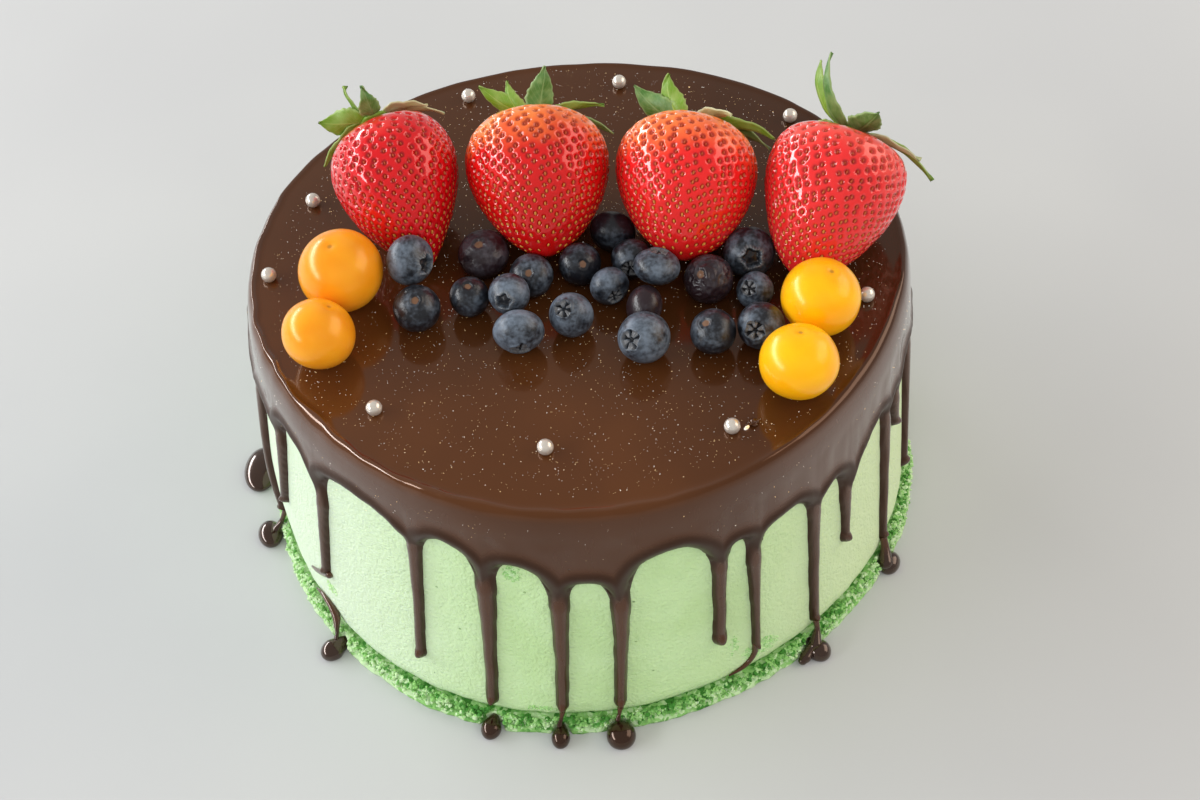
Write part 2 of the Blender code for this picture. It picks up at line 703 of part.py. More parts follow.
def make_physalis(number, fruit, material, parent):
    """One husked physalis: a smooth ball with a small dimple where its stalk was."""

    def place(column, row):
        if row == 0:
            return Vector((0, 0, fruit.half_height * STALK_DIMPLE))
        latitude = math.pi / 2 - math.pi * row / PHYSALIS_ROWS
        turn = 2 * math.pi * column / PHYSALIS_COLUMNS
        radius = fruit.half_width * math.cos(latitude) if row < PHYSALIS_ROWS else 0.0
        height = fruit.half_height * math.sin(latitude)
        return Vector((radius * math.cos(turn), radius * math.sin(turn), height))

    skin = bent_grid(PHYSALIS_COLUMNS, PHYSALIS_ROWS, place)
    ball = as_object(f"physalis_{number}", skin, material, parent)
    rest_on_glaze(ball, fruit, heading(fruit.bearing, fruit.elevation))
    return ball


def main():
    """Build every piece under one empty."""
    clear_scene()
    cake = bpy.data.objects.new("fruit_cake", None)
    bpy.context.scene.collection.objects.link(cake)
    chocolate = finish("chocolate glaze", CHOCOLATE, 0.18)
    red = finish("strawberry skin", STRAWBERRY_RED, 0.3)
    green = finish("strawberry leaf", LEAF_GREEN, 0.6)
    blue = finish("blueberry skin", BLUEBERRY_BLUE, 0.5)
    orange = finish("physalis skin", PHYSALIS_ORANGE, 0.25)
    make_cake(finish("mint frosting", MINT, 0.7), cake)
    make_border(finish("frosting scraps", DEEP_MINT, 0.85), cake)
    make_glaze(chocolate, cake)
    for number, drop in enumerate(FOOT_DROPS, 1):
        make_foot_drop(number, drop, chocolate, cake)
    for number, (values, sepals) in enumerate(zip(STRAWBERRIES, SEPALS), 1):
        form = StrawberryForm(values)
        make_strawberry(number, form, red, cake)
        make_calyx(number, form, sepals, green, cake)
    for number, berry in enumerate(BLUEBERRIES, 1):
        make_blueberry(number, berry, blue, cake)
    for number, fruit in enumerate(PHYSALIS, 1):
        make_physalis(number, fruit, orange, cake)


main()
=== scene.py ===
"""The looks of a round drip cake with fresh fruit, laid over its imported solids.

The cake stands at z = 0 with its front towards -Y. A bearing is an angle in degrees round the
cake, from the front towards +X. Sizes are in millimetres, and each mesh is made in metres.
"""

import logging
import random
from dataclasses import dataclass
from enum import Enum
from math import cos, exp, hypot, log, pi, radians, sin, sqrt
from typing import Callable, Iterator, NamedTuple, Optional, Sequence, Union

import bmesh
import bpy
from mathutils import Matrix, Vector, noise
from mathutils.kdtree import KDTree


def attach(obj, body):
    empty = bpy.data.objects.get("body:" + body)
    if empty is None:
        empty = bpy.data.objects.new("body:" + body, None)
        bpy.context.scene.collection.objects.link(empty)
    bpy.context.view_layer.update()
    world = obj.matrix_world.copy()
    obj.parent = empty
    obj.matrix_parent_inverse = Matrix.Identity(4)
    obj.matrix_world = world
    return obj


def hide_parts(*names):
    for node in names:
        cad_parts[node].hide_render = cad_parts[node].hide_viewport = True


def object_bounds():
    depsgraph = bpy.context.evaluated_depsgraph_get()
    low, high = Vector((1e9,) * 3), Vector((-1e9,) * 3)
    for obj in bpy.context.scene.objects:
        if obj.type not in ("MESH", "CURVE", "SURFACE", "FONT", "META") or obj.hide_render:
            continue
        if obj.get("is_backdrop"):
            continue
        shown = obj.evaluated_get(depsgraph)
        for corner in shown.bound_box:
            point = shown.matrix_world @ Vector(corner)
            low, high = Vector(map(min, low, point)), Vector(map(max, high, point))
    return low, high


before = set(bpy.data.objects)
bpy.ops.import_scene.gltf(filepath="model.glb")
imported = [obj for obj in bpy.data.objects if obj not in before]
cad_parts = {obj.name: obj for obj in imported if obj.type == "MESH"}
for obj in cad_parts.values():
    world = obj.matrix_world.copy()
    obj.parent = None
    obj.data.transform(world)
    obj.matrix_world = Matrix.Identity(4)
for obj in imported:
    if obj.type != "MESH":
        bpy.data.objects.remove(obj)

LOG = logging.getLogger("fruit_cake")
BODY = "root"
MM = 0.001
# Points this near are merged, in metres, and the gap under each fruit is in millimetres.
MERGE = 1e-7
CLEARANCE = 0.3
Colour = tuple[float, float, float]
Station = tuple[float, float, float, float]
Place = Callable[[int, int], Vector]
Skin, Vert = bmesh.types.BMesh, bmesh.types.BMVert
Material = bpy.types.Material


class Drip(NamedTuple):
    """A run of glaze down the side, and the arch of the curtain's edge up to the next one."""

    neck_bearing: float
    tip_bearing: float
    neck_height: float
    tip_height: float
    half_neck: float
    half_low: float
    bulb: float
    arch_rise: float
    arch_crest: float
    hook: float = 1.5


class FootDrop(NamedTuple):
    """A drop of chocolate at the foot: where it lies, its size, and how far it points inwards."""

    bearing: float
    distance: float
    half_length: float
    half_width: float
    height: float
    point: float = 0.0


class Fruit(NamedTuple):
    """A squashed ball of fruit, and where its crown or stalk end faces."""

    x: float
    y: float
    lift: float
    half_width: float
    half_height: float
    bearing: float
    elevation: float


class Strawberry(NamedTuple):
    """A strawberry on its flank: where its stalk end is, how its tip points, and its form."""

    x: float
    y: float
    bearing: float
    dip: float
    length: float
    radius: float
    shoulder: float
    taper: float
    bend_aside: float
    bend_up: float


class Tone(Enum):
    """How fresh a sepal is."""

    FRESH = "fresh"
    DARK = "dark"
    DRY = "dry"


class Sepal(NamedTuple):
    """A leaf of the calyx: its roll from straight up, its size, its rise, curl and freshness."""

    roll: float
    length: float
    half_width: float
    root_lift: float
    tip_lift: float
    twist: float
    tone: Tone


class Crown(Enum):
    """What the end of a blueberry shows."""

    STAR = "star"
    CRATER = "crater"
    SCAR = "scar"


# The drum and its foot, as the solids have them.
TOP_HEIGHT = 93.9
SIDE_RADIUS_AT_TOP = 96.3
SIDE_RADIUS_AT_FOOT = 101.0
FOOT_SHIFT_X, FOOT_SHIFT_Y = -1.7, -2.4
TOP_LOBES = ((2, 1.1, 100), (3, 1.6, 120))
FOOT_LOBES = ((2, 2.1, 65), (3, 2.8, 98))
# The left side bellies out, and the border thins towards the left: by how much, where, how widely.
BELLY, BELLY_BEARING, BELLY_SPREAD = 3.1, -84.0, 26.0
BORDER_THINNING, THIN_BEARING, THIN_SPREAD = 0.55, -98.0, 20.0
MM_PER_DEGREE = radians(100.0)

FRONT_DRIPS = (
    Drip(-79.4, -79.2, 66, 10, 2.0, 1.3, 1.4, 5.5, 0.5),
    Drip(-66.3, -69.1, 66, 34, 1.8, 1.4, 1.7, 13.2, 0.44),
    Drip(-52.2, -54.4, 61.2, 26, 1.9, 1.7, 1.6, 13.6, 0.29, 1.1),
    Drip(-30.4, -31.4, 69, 19, 2.2, 1.7, 2.0, 11.4, 0.57),
    Drip(-17.9, -18.4, 59.8, 8, 2.9, 1.9, 1.8, 14.0, 0.45),
    Drip(-5.9, -6.4, 55.5, 8, 2.6, 1.9, 1.8, 11.0, 0.47),
    Drip(4.0, 3.3, 53.8, 8, 2.6, 1.9, 1.9, 17.5, 0.42),
    Drip(21.1, 21.3, 59.1, 24, 2.3, 2.1, 2.5, 10.6, 0.60),
    Drip(27.7, 28.6, 55.4, 14, 2.2, 1.4, 1.2, 11.2, 0.42, 1.0),
    Drip(41.0, 42.0, 59.3, 8, 2.1, 1.7, 1.6, 10.0, 0.60),
    Drip(49.5, 50.1, 53, 32, 1.8, 1.3, 2.0, 10.5, 0.6),
    Drip(63.9, 63.8, 62, 9, 1.8, 1.4, 1.5, 5.5, 0.5),
    Drip(68.9, 70.2, 63, 49, 1.7, 1.4, 1.9, 8.5, 0.5),
    Drip(81.6, 80.2, 64, 11, 1.9, 1.4, 1.9, 6.5, 0.5, 0.6),
    Drip(89.4, 89.4, 66, 56, 1.8, 1.6, 1.9, 6.0, 0.5),
)
BACK_SEED = 21
BACK_STEP = (13.0, 21.0)
BACK_NECK = (63.0, 72.0)
BACK_TIPS = (10.0, 22.0, 30.0, 44.0)

PEARLS = (
    (17.1, 80.7), (-32.4, 78.5), (70.6, 57.8), (-80.7, 31.8), (-92.0, -0.5), (-58.6, -56.8),
    (-11.5, -75.2), (39.5, -72.0), (83.1, -25.0),
)

# Drops of chocolate on the surface at the foot, as the solids have them.
FOOT_DROPS = (
    FootDrop(-92.4, 111.6, 9.4, 5.9, 4.6),
    FootDrop(-77.6, 109.1, 5.3, 4.0, 4.4),
    FootDrop(-49.7, 109.3, 3.6, 4.4, 4.4, 1.9),
    FootDrop(-18.6, 108.4, 3.1, 3.8, 4.2, 1.8),
    FootDrop(-7.4, 108.5, 2.8, 3.6, 4.2, 1.7),
    FootDrop(2.1, 108.5, 4.4, 4.5, 5.5, 0.2),
    FootDrop(38.6, 105.8, 3.6, 4.0, 4.6, 1.6),
    FootDrop(60.9, 105.8, 4.2, 3.4, 4.6, 0.3),
)
# Thin strands of chocolate over the border, from the end of a drip to a drop. Each of their points
# has a bearing, how proud it is, its height and the radius of the strand there.
STRANDS = (
    ((-79.2, 0.4, 10.5, 1.0), (-79.1, 1.8, 7.0, 0.8), (-78.8, 3.2, 4.8, 1.0), (-78.4, 4.8, 3.0, 1.5)),
    (
        (-60.6, 0.5, 7.2, 0.4), (-58.6, 0.6, 9.0, 0.6), (-56.2, 0.8, 9.8, 0.8), (-54.2, 1.0, 9.4, 1.1),
        (-52.7, 1.4, 8.0, 1.3), (-51.6, 2.7, 6.4, 0.9), (-50.9, 3.6, 5.2, 0.6), (-50.6, 4.4, 4.0, 0.8),
    ),
    ((-6.4, 0.9, 8.6, 0.9), (-6.6, 1.9, 6.6, 0.6), (-6.9, 2.9, 4.6, 0.8)),
    ((3.3, 1.0, 8.8, 1.0), (3.0, 2.0, 6.9, 0.55), (2.7, 3.0, 5.6, 0.8)),
    ((42.0, 1.0, 8.8, 1.0), (41.6, 2.2, 6.4, 0.9), (40.8, 3.2, 4.8, 1.5), (39.9, 4.4, 3.2, 2.2)),
    ((39.0, 4.2, 2.5, 1.8), (38.0, 4.6, 2.1, 1.8), (37.2, 5.0, 1.7, 1.9), (36.6, 5.2, 1.4, 1.4)),
    ((63.8, 1.0, 9.2, 1.2), (63.2, 1.9, 6.8, 1.4), (62.3, 2.7, 4.8, 2.0), (61.4, 3.6, 3.6, 2.3)),
)

# Thin smears of chocolate on the side, in the same way: the dragged end of a drip, and the
# hooked end of another.
SMEARS = (
    (
        (-61.2, 0.1, 17.0, 0.35), (-59.4, 0.2, 19.0, 0.6), (-57.4, 0.2, 21.4, 0.9),
        (-55.4, 0.2, 24.0, 1.2), (-53.6, 0.3, 26.6, 1.4),
    ),
    (
        (28.4, 0.5, 16.5, 1.15), (28.2, 0.5, 13.0, 1.0), (27.4, 0.4, 10.0, 0.85), (26.1, 0.4, 8.2, 0.7),
        (24.6, 0.3, 7.3, 0.5), (23.2, 0.3, 7.0, 0.3),
    ),
)

STRAWBERRIES = (
    Strawberry(-57.4, 33.1, 23.6, 33.7, 48.0, 18.8, 0.41, 0.87, -2.9, -0.6),
    Strawberry(-9.9, 31.0, -0.8, 22.9, 43.1, 21.2, 0.29, 0.65, 1.5, -1.1),
    Strawberry(36.3, 24.1, -12.0, 22.0, 42.0, 20.8, 0.30, 0.62, 2.0, -1.0),
    Strawberry(82.3, 12.8, -29.8, 34.0, 45.3, 20.3, 0.25, 0.65, 0.6, 1.4),
)

SEPALS = (
    (
        Sepal(-100, 14.5, 5.2, 10, 34, 40, Tone.FRESH),
        Sepal(-66, 13, 0.9, 45, 98, 0, Tone.FRESH),
        Sepal(-12, 13.5, 3.3, 0, 62, 15, Tone.DARK),
        Sepal(78, 14, 3.6, 6, -26, 0, Tone.DRY),
        Sepal(100, 20, 3.0, 6, -32, 0, Tone.DRY),
        Sepal(-128, 20, 3.0, 0, -30, 0, Tone.FRESH),
    ),
    (
        Sepal(-76, 17.5, 3.6, 30, 40, 26, Tone.FRESH),
        Sepal(-60, 14, 3.0, 22, 98, 16, Tone.FRESH),
        Sepal(24, 15, 4.4, 50, 70, 0, Tone.DARK),
        Sepal(80, 19, 2.8, 20, -10, 0, Tone.FRESH),
        Sepal(97, 22, 2.8, 10, -35, 0, Tone.DARK),
        Sepal(150, 15, 3.0, 10, 0, 0, Tone.FRESH),
    ),
    (
        Sepal(-84, 20, 4.8, 18, 52, 38, Tone.DARK),
        Sepal(-60, 17, 4.2, 30, 98, 26, Tone.FRESH),
        Sepal(40, 18, 3.4, 0, -25, 0, Tone.DRY),
        Sepal(80, 24, 3.6, 6, -30, 0, Tone.FRESH),
        Sepal(99, 22.5, 3.4, 12, -34, 0, Tone.DARK),
        Sepal(158, 15, 3.0, 10, 0, 0, Tone.FRESH),
    ),
    (
        Sepal(-72, 23.6, 4.4, 14, 88, 16, Tone.FRESH),
        Sepal(-42, 25.6, 3.8, 5, 98, -12, Tone.DARK),
        Sepal(30, 17, 4.8, 0, 22, 0, Tone.DARK),
        Sepal(108, 25, 3.0, 10, -35, 0, Tone.FRESH),
        Sepal(84, 20, 2.6, 0, -18, 0, Tone.DRY),
        Sepal(-96, 12, 2.8, 4, -10, 0, Tone.FRESH),
        Sepal(160, 15, 3.0, 10, 0, 0, Tone.FRESH),
    ),
)

# Each blueberry, what its end shows, and how much bloom it keeps, from 0 to 1.
BLUEBERRIES = (
    (Fruit(-48.2, -10.8, 6.0, 7.4, 6.4, 55, 10), Crown.CRATER, 0.9),
    (Fruit(-46.7, -24.1, 0.0, 6.8, 6.8, 4, 66), Crown.SCAR, 0.4),
    (Fruit(-27.4, -2.8, 0.0, 7.7, 6.3, -33, 71), Crown.SCAR, 0.6),
    (Fruit(-31.6, -20.0, 0.0, 5.8, 6.1, 0, 77), Crown.SCAR, 0.35),
    (Fruit(-13.6, -12.8, 0.0, 6.5, 5.6, -11, 53), Crown.SCAR, 0.6),
    (Fruit(-19.9, -23.1, 3.2, 6.0, 5.9, -17, 21), Crown.CRATER, 0.9),
    (Fruit(-17.6, -36.3, 0.0, 7.3, 6.0, 0, -23), Crown.STAR, 1.0),
    (Fruit(0.8, -9.4, 0.0, 6.3, 5.9, 13, 42), Crown.SCAR, 0.35),
    (Fruit(-2.5, -30.8, 0.0, 6.3, 7.0, -39, 58), Crown.STAR, 1.0),
    (Fruit(11.1, 3.0, 0.0, 6.9, 5.9, 160, 20), Crown.SCAR, 0.25),
    (Fruit(9.0, -19.0, 0.0, 5.8, 5.1, 17, -2), Crown.STAR, 0.8),
    (Fruit(16.1, -8.7, 0.0, 6.2, 5.4, -10, 8), Crown.STAR, 0.5),
    (Fruit(22.9, -18.3, 6.2, 6.8, 5.2, 156, 65), Crown.STAR, 0.8),
    (Fruit(37.6, -20.0, 0.0, 7.3, 6.8, -43, 52), Crown.SCAR, 0.5),
    (Fruit(50.3, -10.5, 0.0, 7.6, 7.0, 2, 28), Crown.CRATER, 0.7),
    (Fruit(50.7, -24.0, 0.0, 5.5, 4.8, -44, 47), Crown.STAR, 0.8),
    (Fruit(18.5, -28.6, 0.0, 6.2, 5.1, 90, -20), Crown.SCAR, 0.3),
    (Fruit(17.6, -42.1, 0.0, 7.3, 7.8, -42, 32), Crown.STAR, 0.9),
    (Fruit(37.1, -40.6, 0.0, 6.5, 6.4, -55, 62), Crown.SCAR, 0.5),
    (Fruit(50.7, -39.9, 0.0, 6.7, 7.3, -25, 31), Crown.STAR, 0.7),
)

PHYSALIS = (
    Fruit(-68.5, -12.0, 0.0, 12.5, 12.0, -43, 80),
    Fruit(-73.9, -35.1, 0.0, 10.6, 9.9, 120, 60),
    Fruit(68.1, -34.4, 0.0, 11.5, 11.1, 78, 76),
    Fruit(59.1, -58.0, 0.0, 11.2, 10.4, 170, 80),
)


def blend(start: float, end: float, share: float) -> float:
    """The value that lies the given share of the way from start to end."""
    return start + (end - start) * share


def ease(share: float) -> float:
    """A share from 0 to 1 with soft ends."""
    share = min(max(share, 0.0), 1.0)
    return share * share * (3 - 2 * share)


def soft_max(first: float, second: float, reach: float) -> float:
    """The larger of two values, rounded where they are within reach of each other."""
    near = max(reach - abs(first - second), 0.0) / reach
    return max(first, second) + near * near * reach / 4


def heading(bearing: float, elevation: float = 0.0) -> Vector:
    """The unit vector that points along a bearing, tipped up by an elevation."""
    turn, tip = radians(bearing), radians(elevation)
    return Vector((sin(turn) * cos(tip), -cos(turn) * cos(tip), sin(tip)))


def swell(lobes: Sequence[tuple[int, float, float]], bearing: float) -> float:
    """How far the lobes push the outline out at a bearing."""
    return sum(depth * cos(radians(count * (bearing - first))) for count, depth, first in lobes)


def apart(bearing: float, middle: float) -> float:
    """The angle from a middle bearing to another, from -180 to 180 degrees."""
    return (bearing - middle + 180) % 360 - 180


def near(bearing: float, middle: float, spread: float) -> float:
    """How near a bearing is to a middle one: 1 there, falling off smoothly over the spread."""
    return exp(-((apart(bearing, middle) / spread) ** 2))


def side_point(bearing: float, height: float, proud: float = 0.0) -> Vector:
    """A point of the frosted side.

    Args:
        bearing: the bearing round the cake.
        height: the height above the base.
        proud: how far the point is moved outwards.

    Returns:
        The point, in millimetres.
    """
    down = 1 - height / TOP_HEIGHT
    radius_at_top = SIDE_RADIUS_AT_TOP + swell(TOP_LOBES, bearing)
    radius_at_foot = SIDE_RADIUS_AT_FOOT + swell(FOOT_LOBES, bearing)
    bulge = sin(pi * min(max(down, 0.0) ** 1.6, 0.85))
    belly = BELLY * near(bearing, BELLY_BEARING, BELLY_SPREAD) * bulge
    out = heading(bearing) * (blend(radius_at_top, radius_at_foot, down) + belly + proud)
    return Vector((out.x + FOOT_SHIFT_X * down, out.y + FOOT_SHIFT_Y * down, height))


def ripple(point: Vector, size: float, seed: float = 0.0) -> float:
    """Smooth noise from about -1 to 1 whose bumps are as wide as size."""
    return noise.noise(point / size + Vector((seed, seed * 1.7, -seed)))


def tree_of(points: Sequence[Vector]) -> KDTree:
    """A tree that finds the nearest of some points.

    Args:
        points: the points, which it numbers in their order.

    Returns:
        The tree.
    """
    tree = KDTree(len(points))
    for number, point in enumerate(points):
        tree.insert(point, number)
    tree.balance()
    return tree


def tumble(chance: random.Random) -> Matrix:
    """A turn of a grain about a random axis."""
    return Matrix.Rotation(chance.uniform(0, 6.28), 4, Vector([chance.gauss(0, 1) for _ in range(3)]))


def placed(centre: Vector, turn: Matrix, half_sizes: Sequence[float]) -> Matrix:
    """The matrix that turns and squashes a ball of radius 1 and puts it in its place, in metres."""
    return Matrix.Scale(MM, 4) @ Matrix.Translation(centre) @ turn @ Matrix.Diagonal((*half_sizes, 1.0))


def grid_steps(skin: Skin, columns: int, rows: int) -> Iterator[tuple[Vert, int, int]]:
    """Lay a grid in an empty skin.

    Args:
        skin: the skin.
        columns: steps round it, where the last column meets the first.
        rows: steps along it.

    Returns:
        Each point of the grid, with its column and row.
    """
    bmesh.ops.create_grid(skin, x_segments=columns, y_segments=rows, size=0.5)
    for vert in skin.verts:
        yield vert, round((vert.co.x + 0.5) * columns) % columns, round((vert.co.y + 0.5) * rows)


def close(skin: Skin) -> None:
    """Merge the points of a skin that meet, and turn its faces outwards."""
    bmesh.ops.remove_doubles(skin, verts=skin.verts, dist=MERGE)
    bmesh.ops.recalc_face_normals(skin, faces=skin.faces)


def bent_grid(columns: int, rows: int, place: Place, tube: bool = False) -> Skin:
    """A grid bent into a closed skin by a rule.

    Args:
        columns: steps round the skin, where the last column meets the first.
        rows: steps along it.
        place: gives the point of a column and row, in millimetres.
        tube: True where the last row meets the first, and False where each end is one point.

    Returns:
        The skin, in metres, with its faces pointing outwards.
    """
    skin = bmesh.new()
    for vert, column, row in grid_steps(skin, columns, rows):
        vert.co = place(column, row % rows if tube else row) * MM
    close(skin)
    return skin


def to_mesh(name: str, skin: Skin) -> bpy.types.Mesh:
    """The mesh that a bmesh becomes, shaded smooth.

    Args:
        name: the mesh's name.
        skin: its shape, which is used up.

    Returns:
        The mesh.
    """
    mesh = bpy.data.meshes.new(name)
    skin.to_mesh(mesh)
    skin.free()
    mesh.shade_smooth()
    return mesh


def put(name: str, data: bpy.types.ID) -> bpy.types.Object:
    """Put an object in the scene.

    Args:
        name: its name.
        data: its mesh, light or camera.

    Returns:
        The object.
    """
    thing = bpy.data.objects.new(name, data)
    bpy.context.scene.collection.objects.link(thing)
    return thing


def make_piece(
    name: str,
    skin: Skin,
    material: Union[Material, Sequence[Material]],
    nodes: Sequence[str] = (),
) -> None:
    """Finish a piece: its mesh, its finish, its body and what it stands for.

    Args:
        name: the piece's name.
        skin: its shape, which is used up.
        material: its finish, or a list of the finishes that its faces are numbered for.
        nodes: the solids that it stands for.
    """
    mesh = to_mesh(name, skin)
    for finish in material if isinstance(material, list) else [material]:
        mesh.materials.append(finish)
    piece = put(name, mesh)
    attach(piece, BODY)
    if nodes:
        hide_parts(*nodes)
    LOG.info("%s: %d faces", name, len(mesh.polygons))


class Scatter:
    """Many small grains gathered into one mesh, in the order that they are added."""

    BATCH = 60

    def __init__(self, around: int = 0, rows: int = 0) -> None:
        """Start with no grains.

        Args:
            around: segments round each grain, or 0 for rough grains of 20 faces.
            rows: segments from pole to pole.
        """
        self.around = around
        self.rows = rows
        self.whole = bmesh.new()
        self.batch = bmesh.new()
        self.waiting = 0

    def add(self, place: Matrix) -> None:
        """Add one grain.

        Args:
            place: a matrix that places and squashes a ball of radius 1, in metres.
        """
        if self.around:
            counts = {"u_segments": self.around, "v_segments": self.rows}
            bmesh.ops.create_uvsphere(self.batch, radius=1.0, matrix=place, **counts)
        else:
            bmesh.ops.create_icosphere(self.batch, subdivisions=1, radius=1.0, matrix=place)
        self.waiting += 1
        if self.waiting == self.BATCH:
            self.gather()

    def gather(self) -> None:
        """Move the waiting grains into the whole."""
        mesh = bpy.data.meshes.new("grains")
        self.batch.to_mesh(mesh)
        self.whole.from_mesh(mesh)
        bpy.data.meshes.remove(mesh)
        self.batch.clear()
        self.waiting = 0

    def finish(self) -> Skin:
        """Gather what still waits.

        Returns:
            The whole of the grains.
        """
        self.gather()
        self.batch.free()
        return self.whole


Value = Union[float, Sequence[float], "Signal"]


class Signal:
    """A node's output that Python arithmetic can work on."""

    def __init__(self, paint: "Paint", socket: bpy.types.NodeSocket) -> None:
        """Wrap a socket of a paint's node tree."""
        self.paint = paint
        self.socket = socket

    def _math(self, operation: str, *values: Value) -> "Signal":
        """The result of a Math node."""
        return self.paint.node("ShaderNodeMath", {"operation": operation}, dict(enumerate(values)))

    def __add__(self, other: Value) -> "Signal":
        """The sum."""
        return self._math("ADD", self, other)

    __radd__ = __add__

    def __sub__(self, other: Value) -> "Signal":
        """The difference."""
        return self._math("SUBTRACT", self, other)

    def __rsub__(self, other: Value) -> "Signal":
        """The difference the other way round."""
        return self._math("SUBTRACT", other, self)

    def __mul__(self, other: Value) -> "Signal":
        """The product."""
        return self._math("MULTIPLY", self, other)

    __rmul__ = __mul__

    def most(self, other: Value) -> "Signal":
        """The larger of the two."""
        return self._math("MAXIMUM", self, other)

    def least(self, other: Value) -> "Signal":
        """The smaller of the two."""
        return self._math("MINIMUM", self, other)

    def step(self, low: float, high: float) -> "Signal":
        """A soft step.

        Args:
            low: the value where the step is 0.
            high: the value where it is 1, which may be the smaller of the two.

        Returns:
            The step, from 0 to 1.
        """
        rises = low <= high
        ends = {1: min(low, high), 2: max(low, high), 3: 0.0 if rises else 1.0, 4: 1.0 if rises else 0.0}
        settings = {"interpolation_type": "SMOOTHSTEP"}
        return self.paint.node("ShaderNodeMapRange", settings, {0: self, **ends})


class Paint:
    """The node tree of one material."""

    def __init__(self, name: str) -> None:
        """Start a material with an empty tree.

        Args:
            name: the material's name.
        """
        self.material = bpy.data.materials.new(name)
        self.material.use_nodes = True
        self.tree = self.material.node_tree
        self.tree.nodes.clear()

    def node(
        self,
        kind: str,
        settings: Optional[dict] = None,
        values: Optional[dict] = None,
        output: Union[int, str] = 0,
    ) -> Signal:
        """Add a node.

        Args:
            kind: the node's type.
            settings: its properties, which are set first.
            values: the value or the signal of each input, by name or number.
            output: the output that is wanted.

        Returns:
            That output.
        """
        node = self.tree.nodes.new(kind)
        for key, setting in (settings or {}).items():
            setattr(node, key, setting)
        for key, value in (values or {}).items():
            if isinstance(value, Signal):
                self.tree.links.new(value.socket, node.inputs[key])
            elif isinstance(value, tuple) and len(value) == 3 and node.inputs[key].type == "RGBA":
                node.inputs[key].default_value = (*value, 1.0)
            else:
                node.inputs[key].default_value = value
        return Signal(self, node.outputs[output])

    def place(self, stretch: Colour = (1.0, 1.0, 1.0)) -> Signal:
        """The point of the surface in metres.

        Args:
            stretch: how much it is stretched along each axis.

        Returns:
            The point.
        """
        place = self.node("ShaderNodeTexCoord", output="Object")
        if stretch == (1.0, 1.0, 1.0):
            return place
        return self.node("ShaderNodeMapping", values={"Vector": place, "Scale": stretch})

    def height(self) -> Signal:
        """The height of the point above the base, in metres."""
        return self.along(2)

    def along(self, axis: int) -> Signal:
        """The point's place along one axis, in metres."""
        return self.node("ShaderNodeSeparateXYZ", values={0: self.place()}, output=axis)

    def attribute(self, name: str) -> Signal:
        """A number that the mesh carries."""
        return self.node("ShaderNodeAttribute", {"attribute_name": name}, output="Fac")

    def mottle(self, size: float, detail: float = 3.0, place: Optional[Signal] = None) -> Signal:
        """Noise from 0 to 1 whose blotches are as wide as size, in millimetres."""
        values = {"Vector": place or self.place(), "Scale": 1.0 / (size * MM), "Detail": detail}
        return self.node("ShaderNodeTexNoise", values=values)

    def cells(self, size: float, output: str = "Distance") -> Signal:
        """A Voronoi pattern whose cells are as wide as size, in millimetres."""
        values = {"Vector": self.place(), "Scale": 1.0 / (size * MM)}
        return self.node("ShaderNodeTexVoronoi", values=values, output=output)

    def cell_values(self, size: float) -> Signal:
        """A random number from 0 to 1 for each of the cells."""
        return self.node("ShaderNodeSeparateColor", values={0: self.cells(size, "Color")})

    def mix(self, share: Value, first: Value, second: Value) -> Signal:
        """A colour between two."""
        return self.node("ShaderNodeMix", {"data_type": "RGBA"}, {0: share, 6: first, 7: second}, output=2)

    def bump(self, height: Signal, depth: float, under: Optional[Signal] = None) -> Signal:
        """A surface normal that shows a fine relief.

        Args:
            height: the relief's height, from 0 to 1.
            depth: how deep it is, in millimetres.
            under: the normal that it is laid over.

        Returns:
            The normal.
        """
        values = {"Height": height, "Distance": depth * MM, "Strength": 1.0}
        if under:
            values["Normal"] = under
        return self.node("ShaderNodeBump", values=values)

    def finish(self, values: dict) -> Material:
        """Give the material one Principled shader.

        Args:
            values: the value or the signal of each of its inputs.

        Returns:
            The material.
        """
        shader = self.node("ShaderNodeBsdfPrincipled", values=values)
        output = self.tree.nodes.new("ShaderNodeOutputMaterial")
        self.tree.links.new(shader.socket, output.inputs["Surface"])
        return self.material


@dataclass(frozen=True)
class Frosting:
    """Whipped mint frosting, smoothed with a scraper: matte, faintly pitted and streaked; painted shade
    darkens the pits, painted light pales the left side and warms the right.
    """

    pale: Colour = (0.62, 0.85, 0.45)
    deep: Colour = (0.57, 0.80, 0.39)
    # The pit colour is painted shade. The left and right colours are painted light: paler where the window
    # light falls on the left, warmer under the fill on the right.
    pit_shade: Colour = (0.20, 0.42, 0.10)
    left: Colour = (0.70, 0.83, 0.62)
    right: Colour = (0.68, 0.83, 0.50)

    def material(self) -> Material:
        """The finish of the frosted side.

        Returns:
            The material.
        """
        paint = Paint("mint frosting")
        cloud = paint.mottle(22, 2)
        base = paint.mix(cloud.step(0.35, 0.65), self.pale, self.deep)
        # Painted light: paler towards the left and warmer towards the right.
        base = paint.mix(paint.along(0).step(-0.015, -0.09), base, self.left)
        base = paint.mix(paint.along(0).step(0.02, 0.09), base, self.right)
        # Painted shade: a few fine pits are darkened.
        pits = paint.cells(5.0).step(0.085, 0.05) * paint.cell_values(5.0).step(0.86, 0.9)
        base = paint.mix(pits * 0.6, base, self.pit_shade)
        grain = paint.mottle(1.0, 5) * 0.7 + paint.mottle(3.5, 2, paint.place((1, 1, 0.5))) * 0.6
        grain = grain - pits * 0.9
        return paint.finish({
            "Base Color": base, "Roughness": 0.6, "Specular IOR Level": 0.35,
            "Subsurface Weight": 0.2, "Subsurface Radius": (1.0, 1.0, 0.6),
            "Subsurface Scale": 0.0025, "Normal": paint.bump(grain, 1.0),
        })


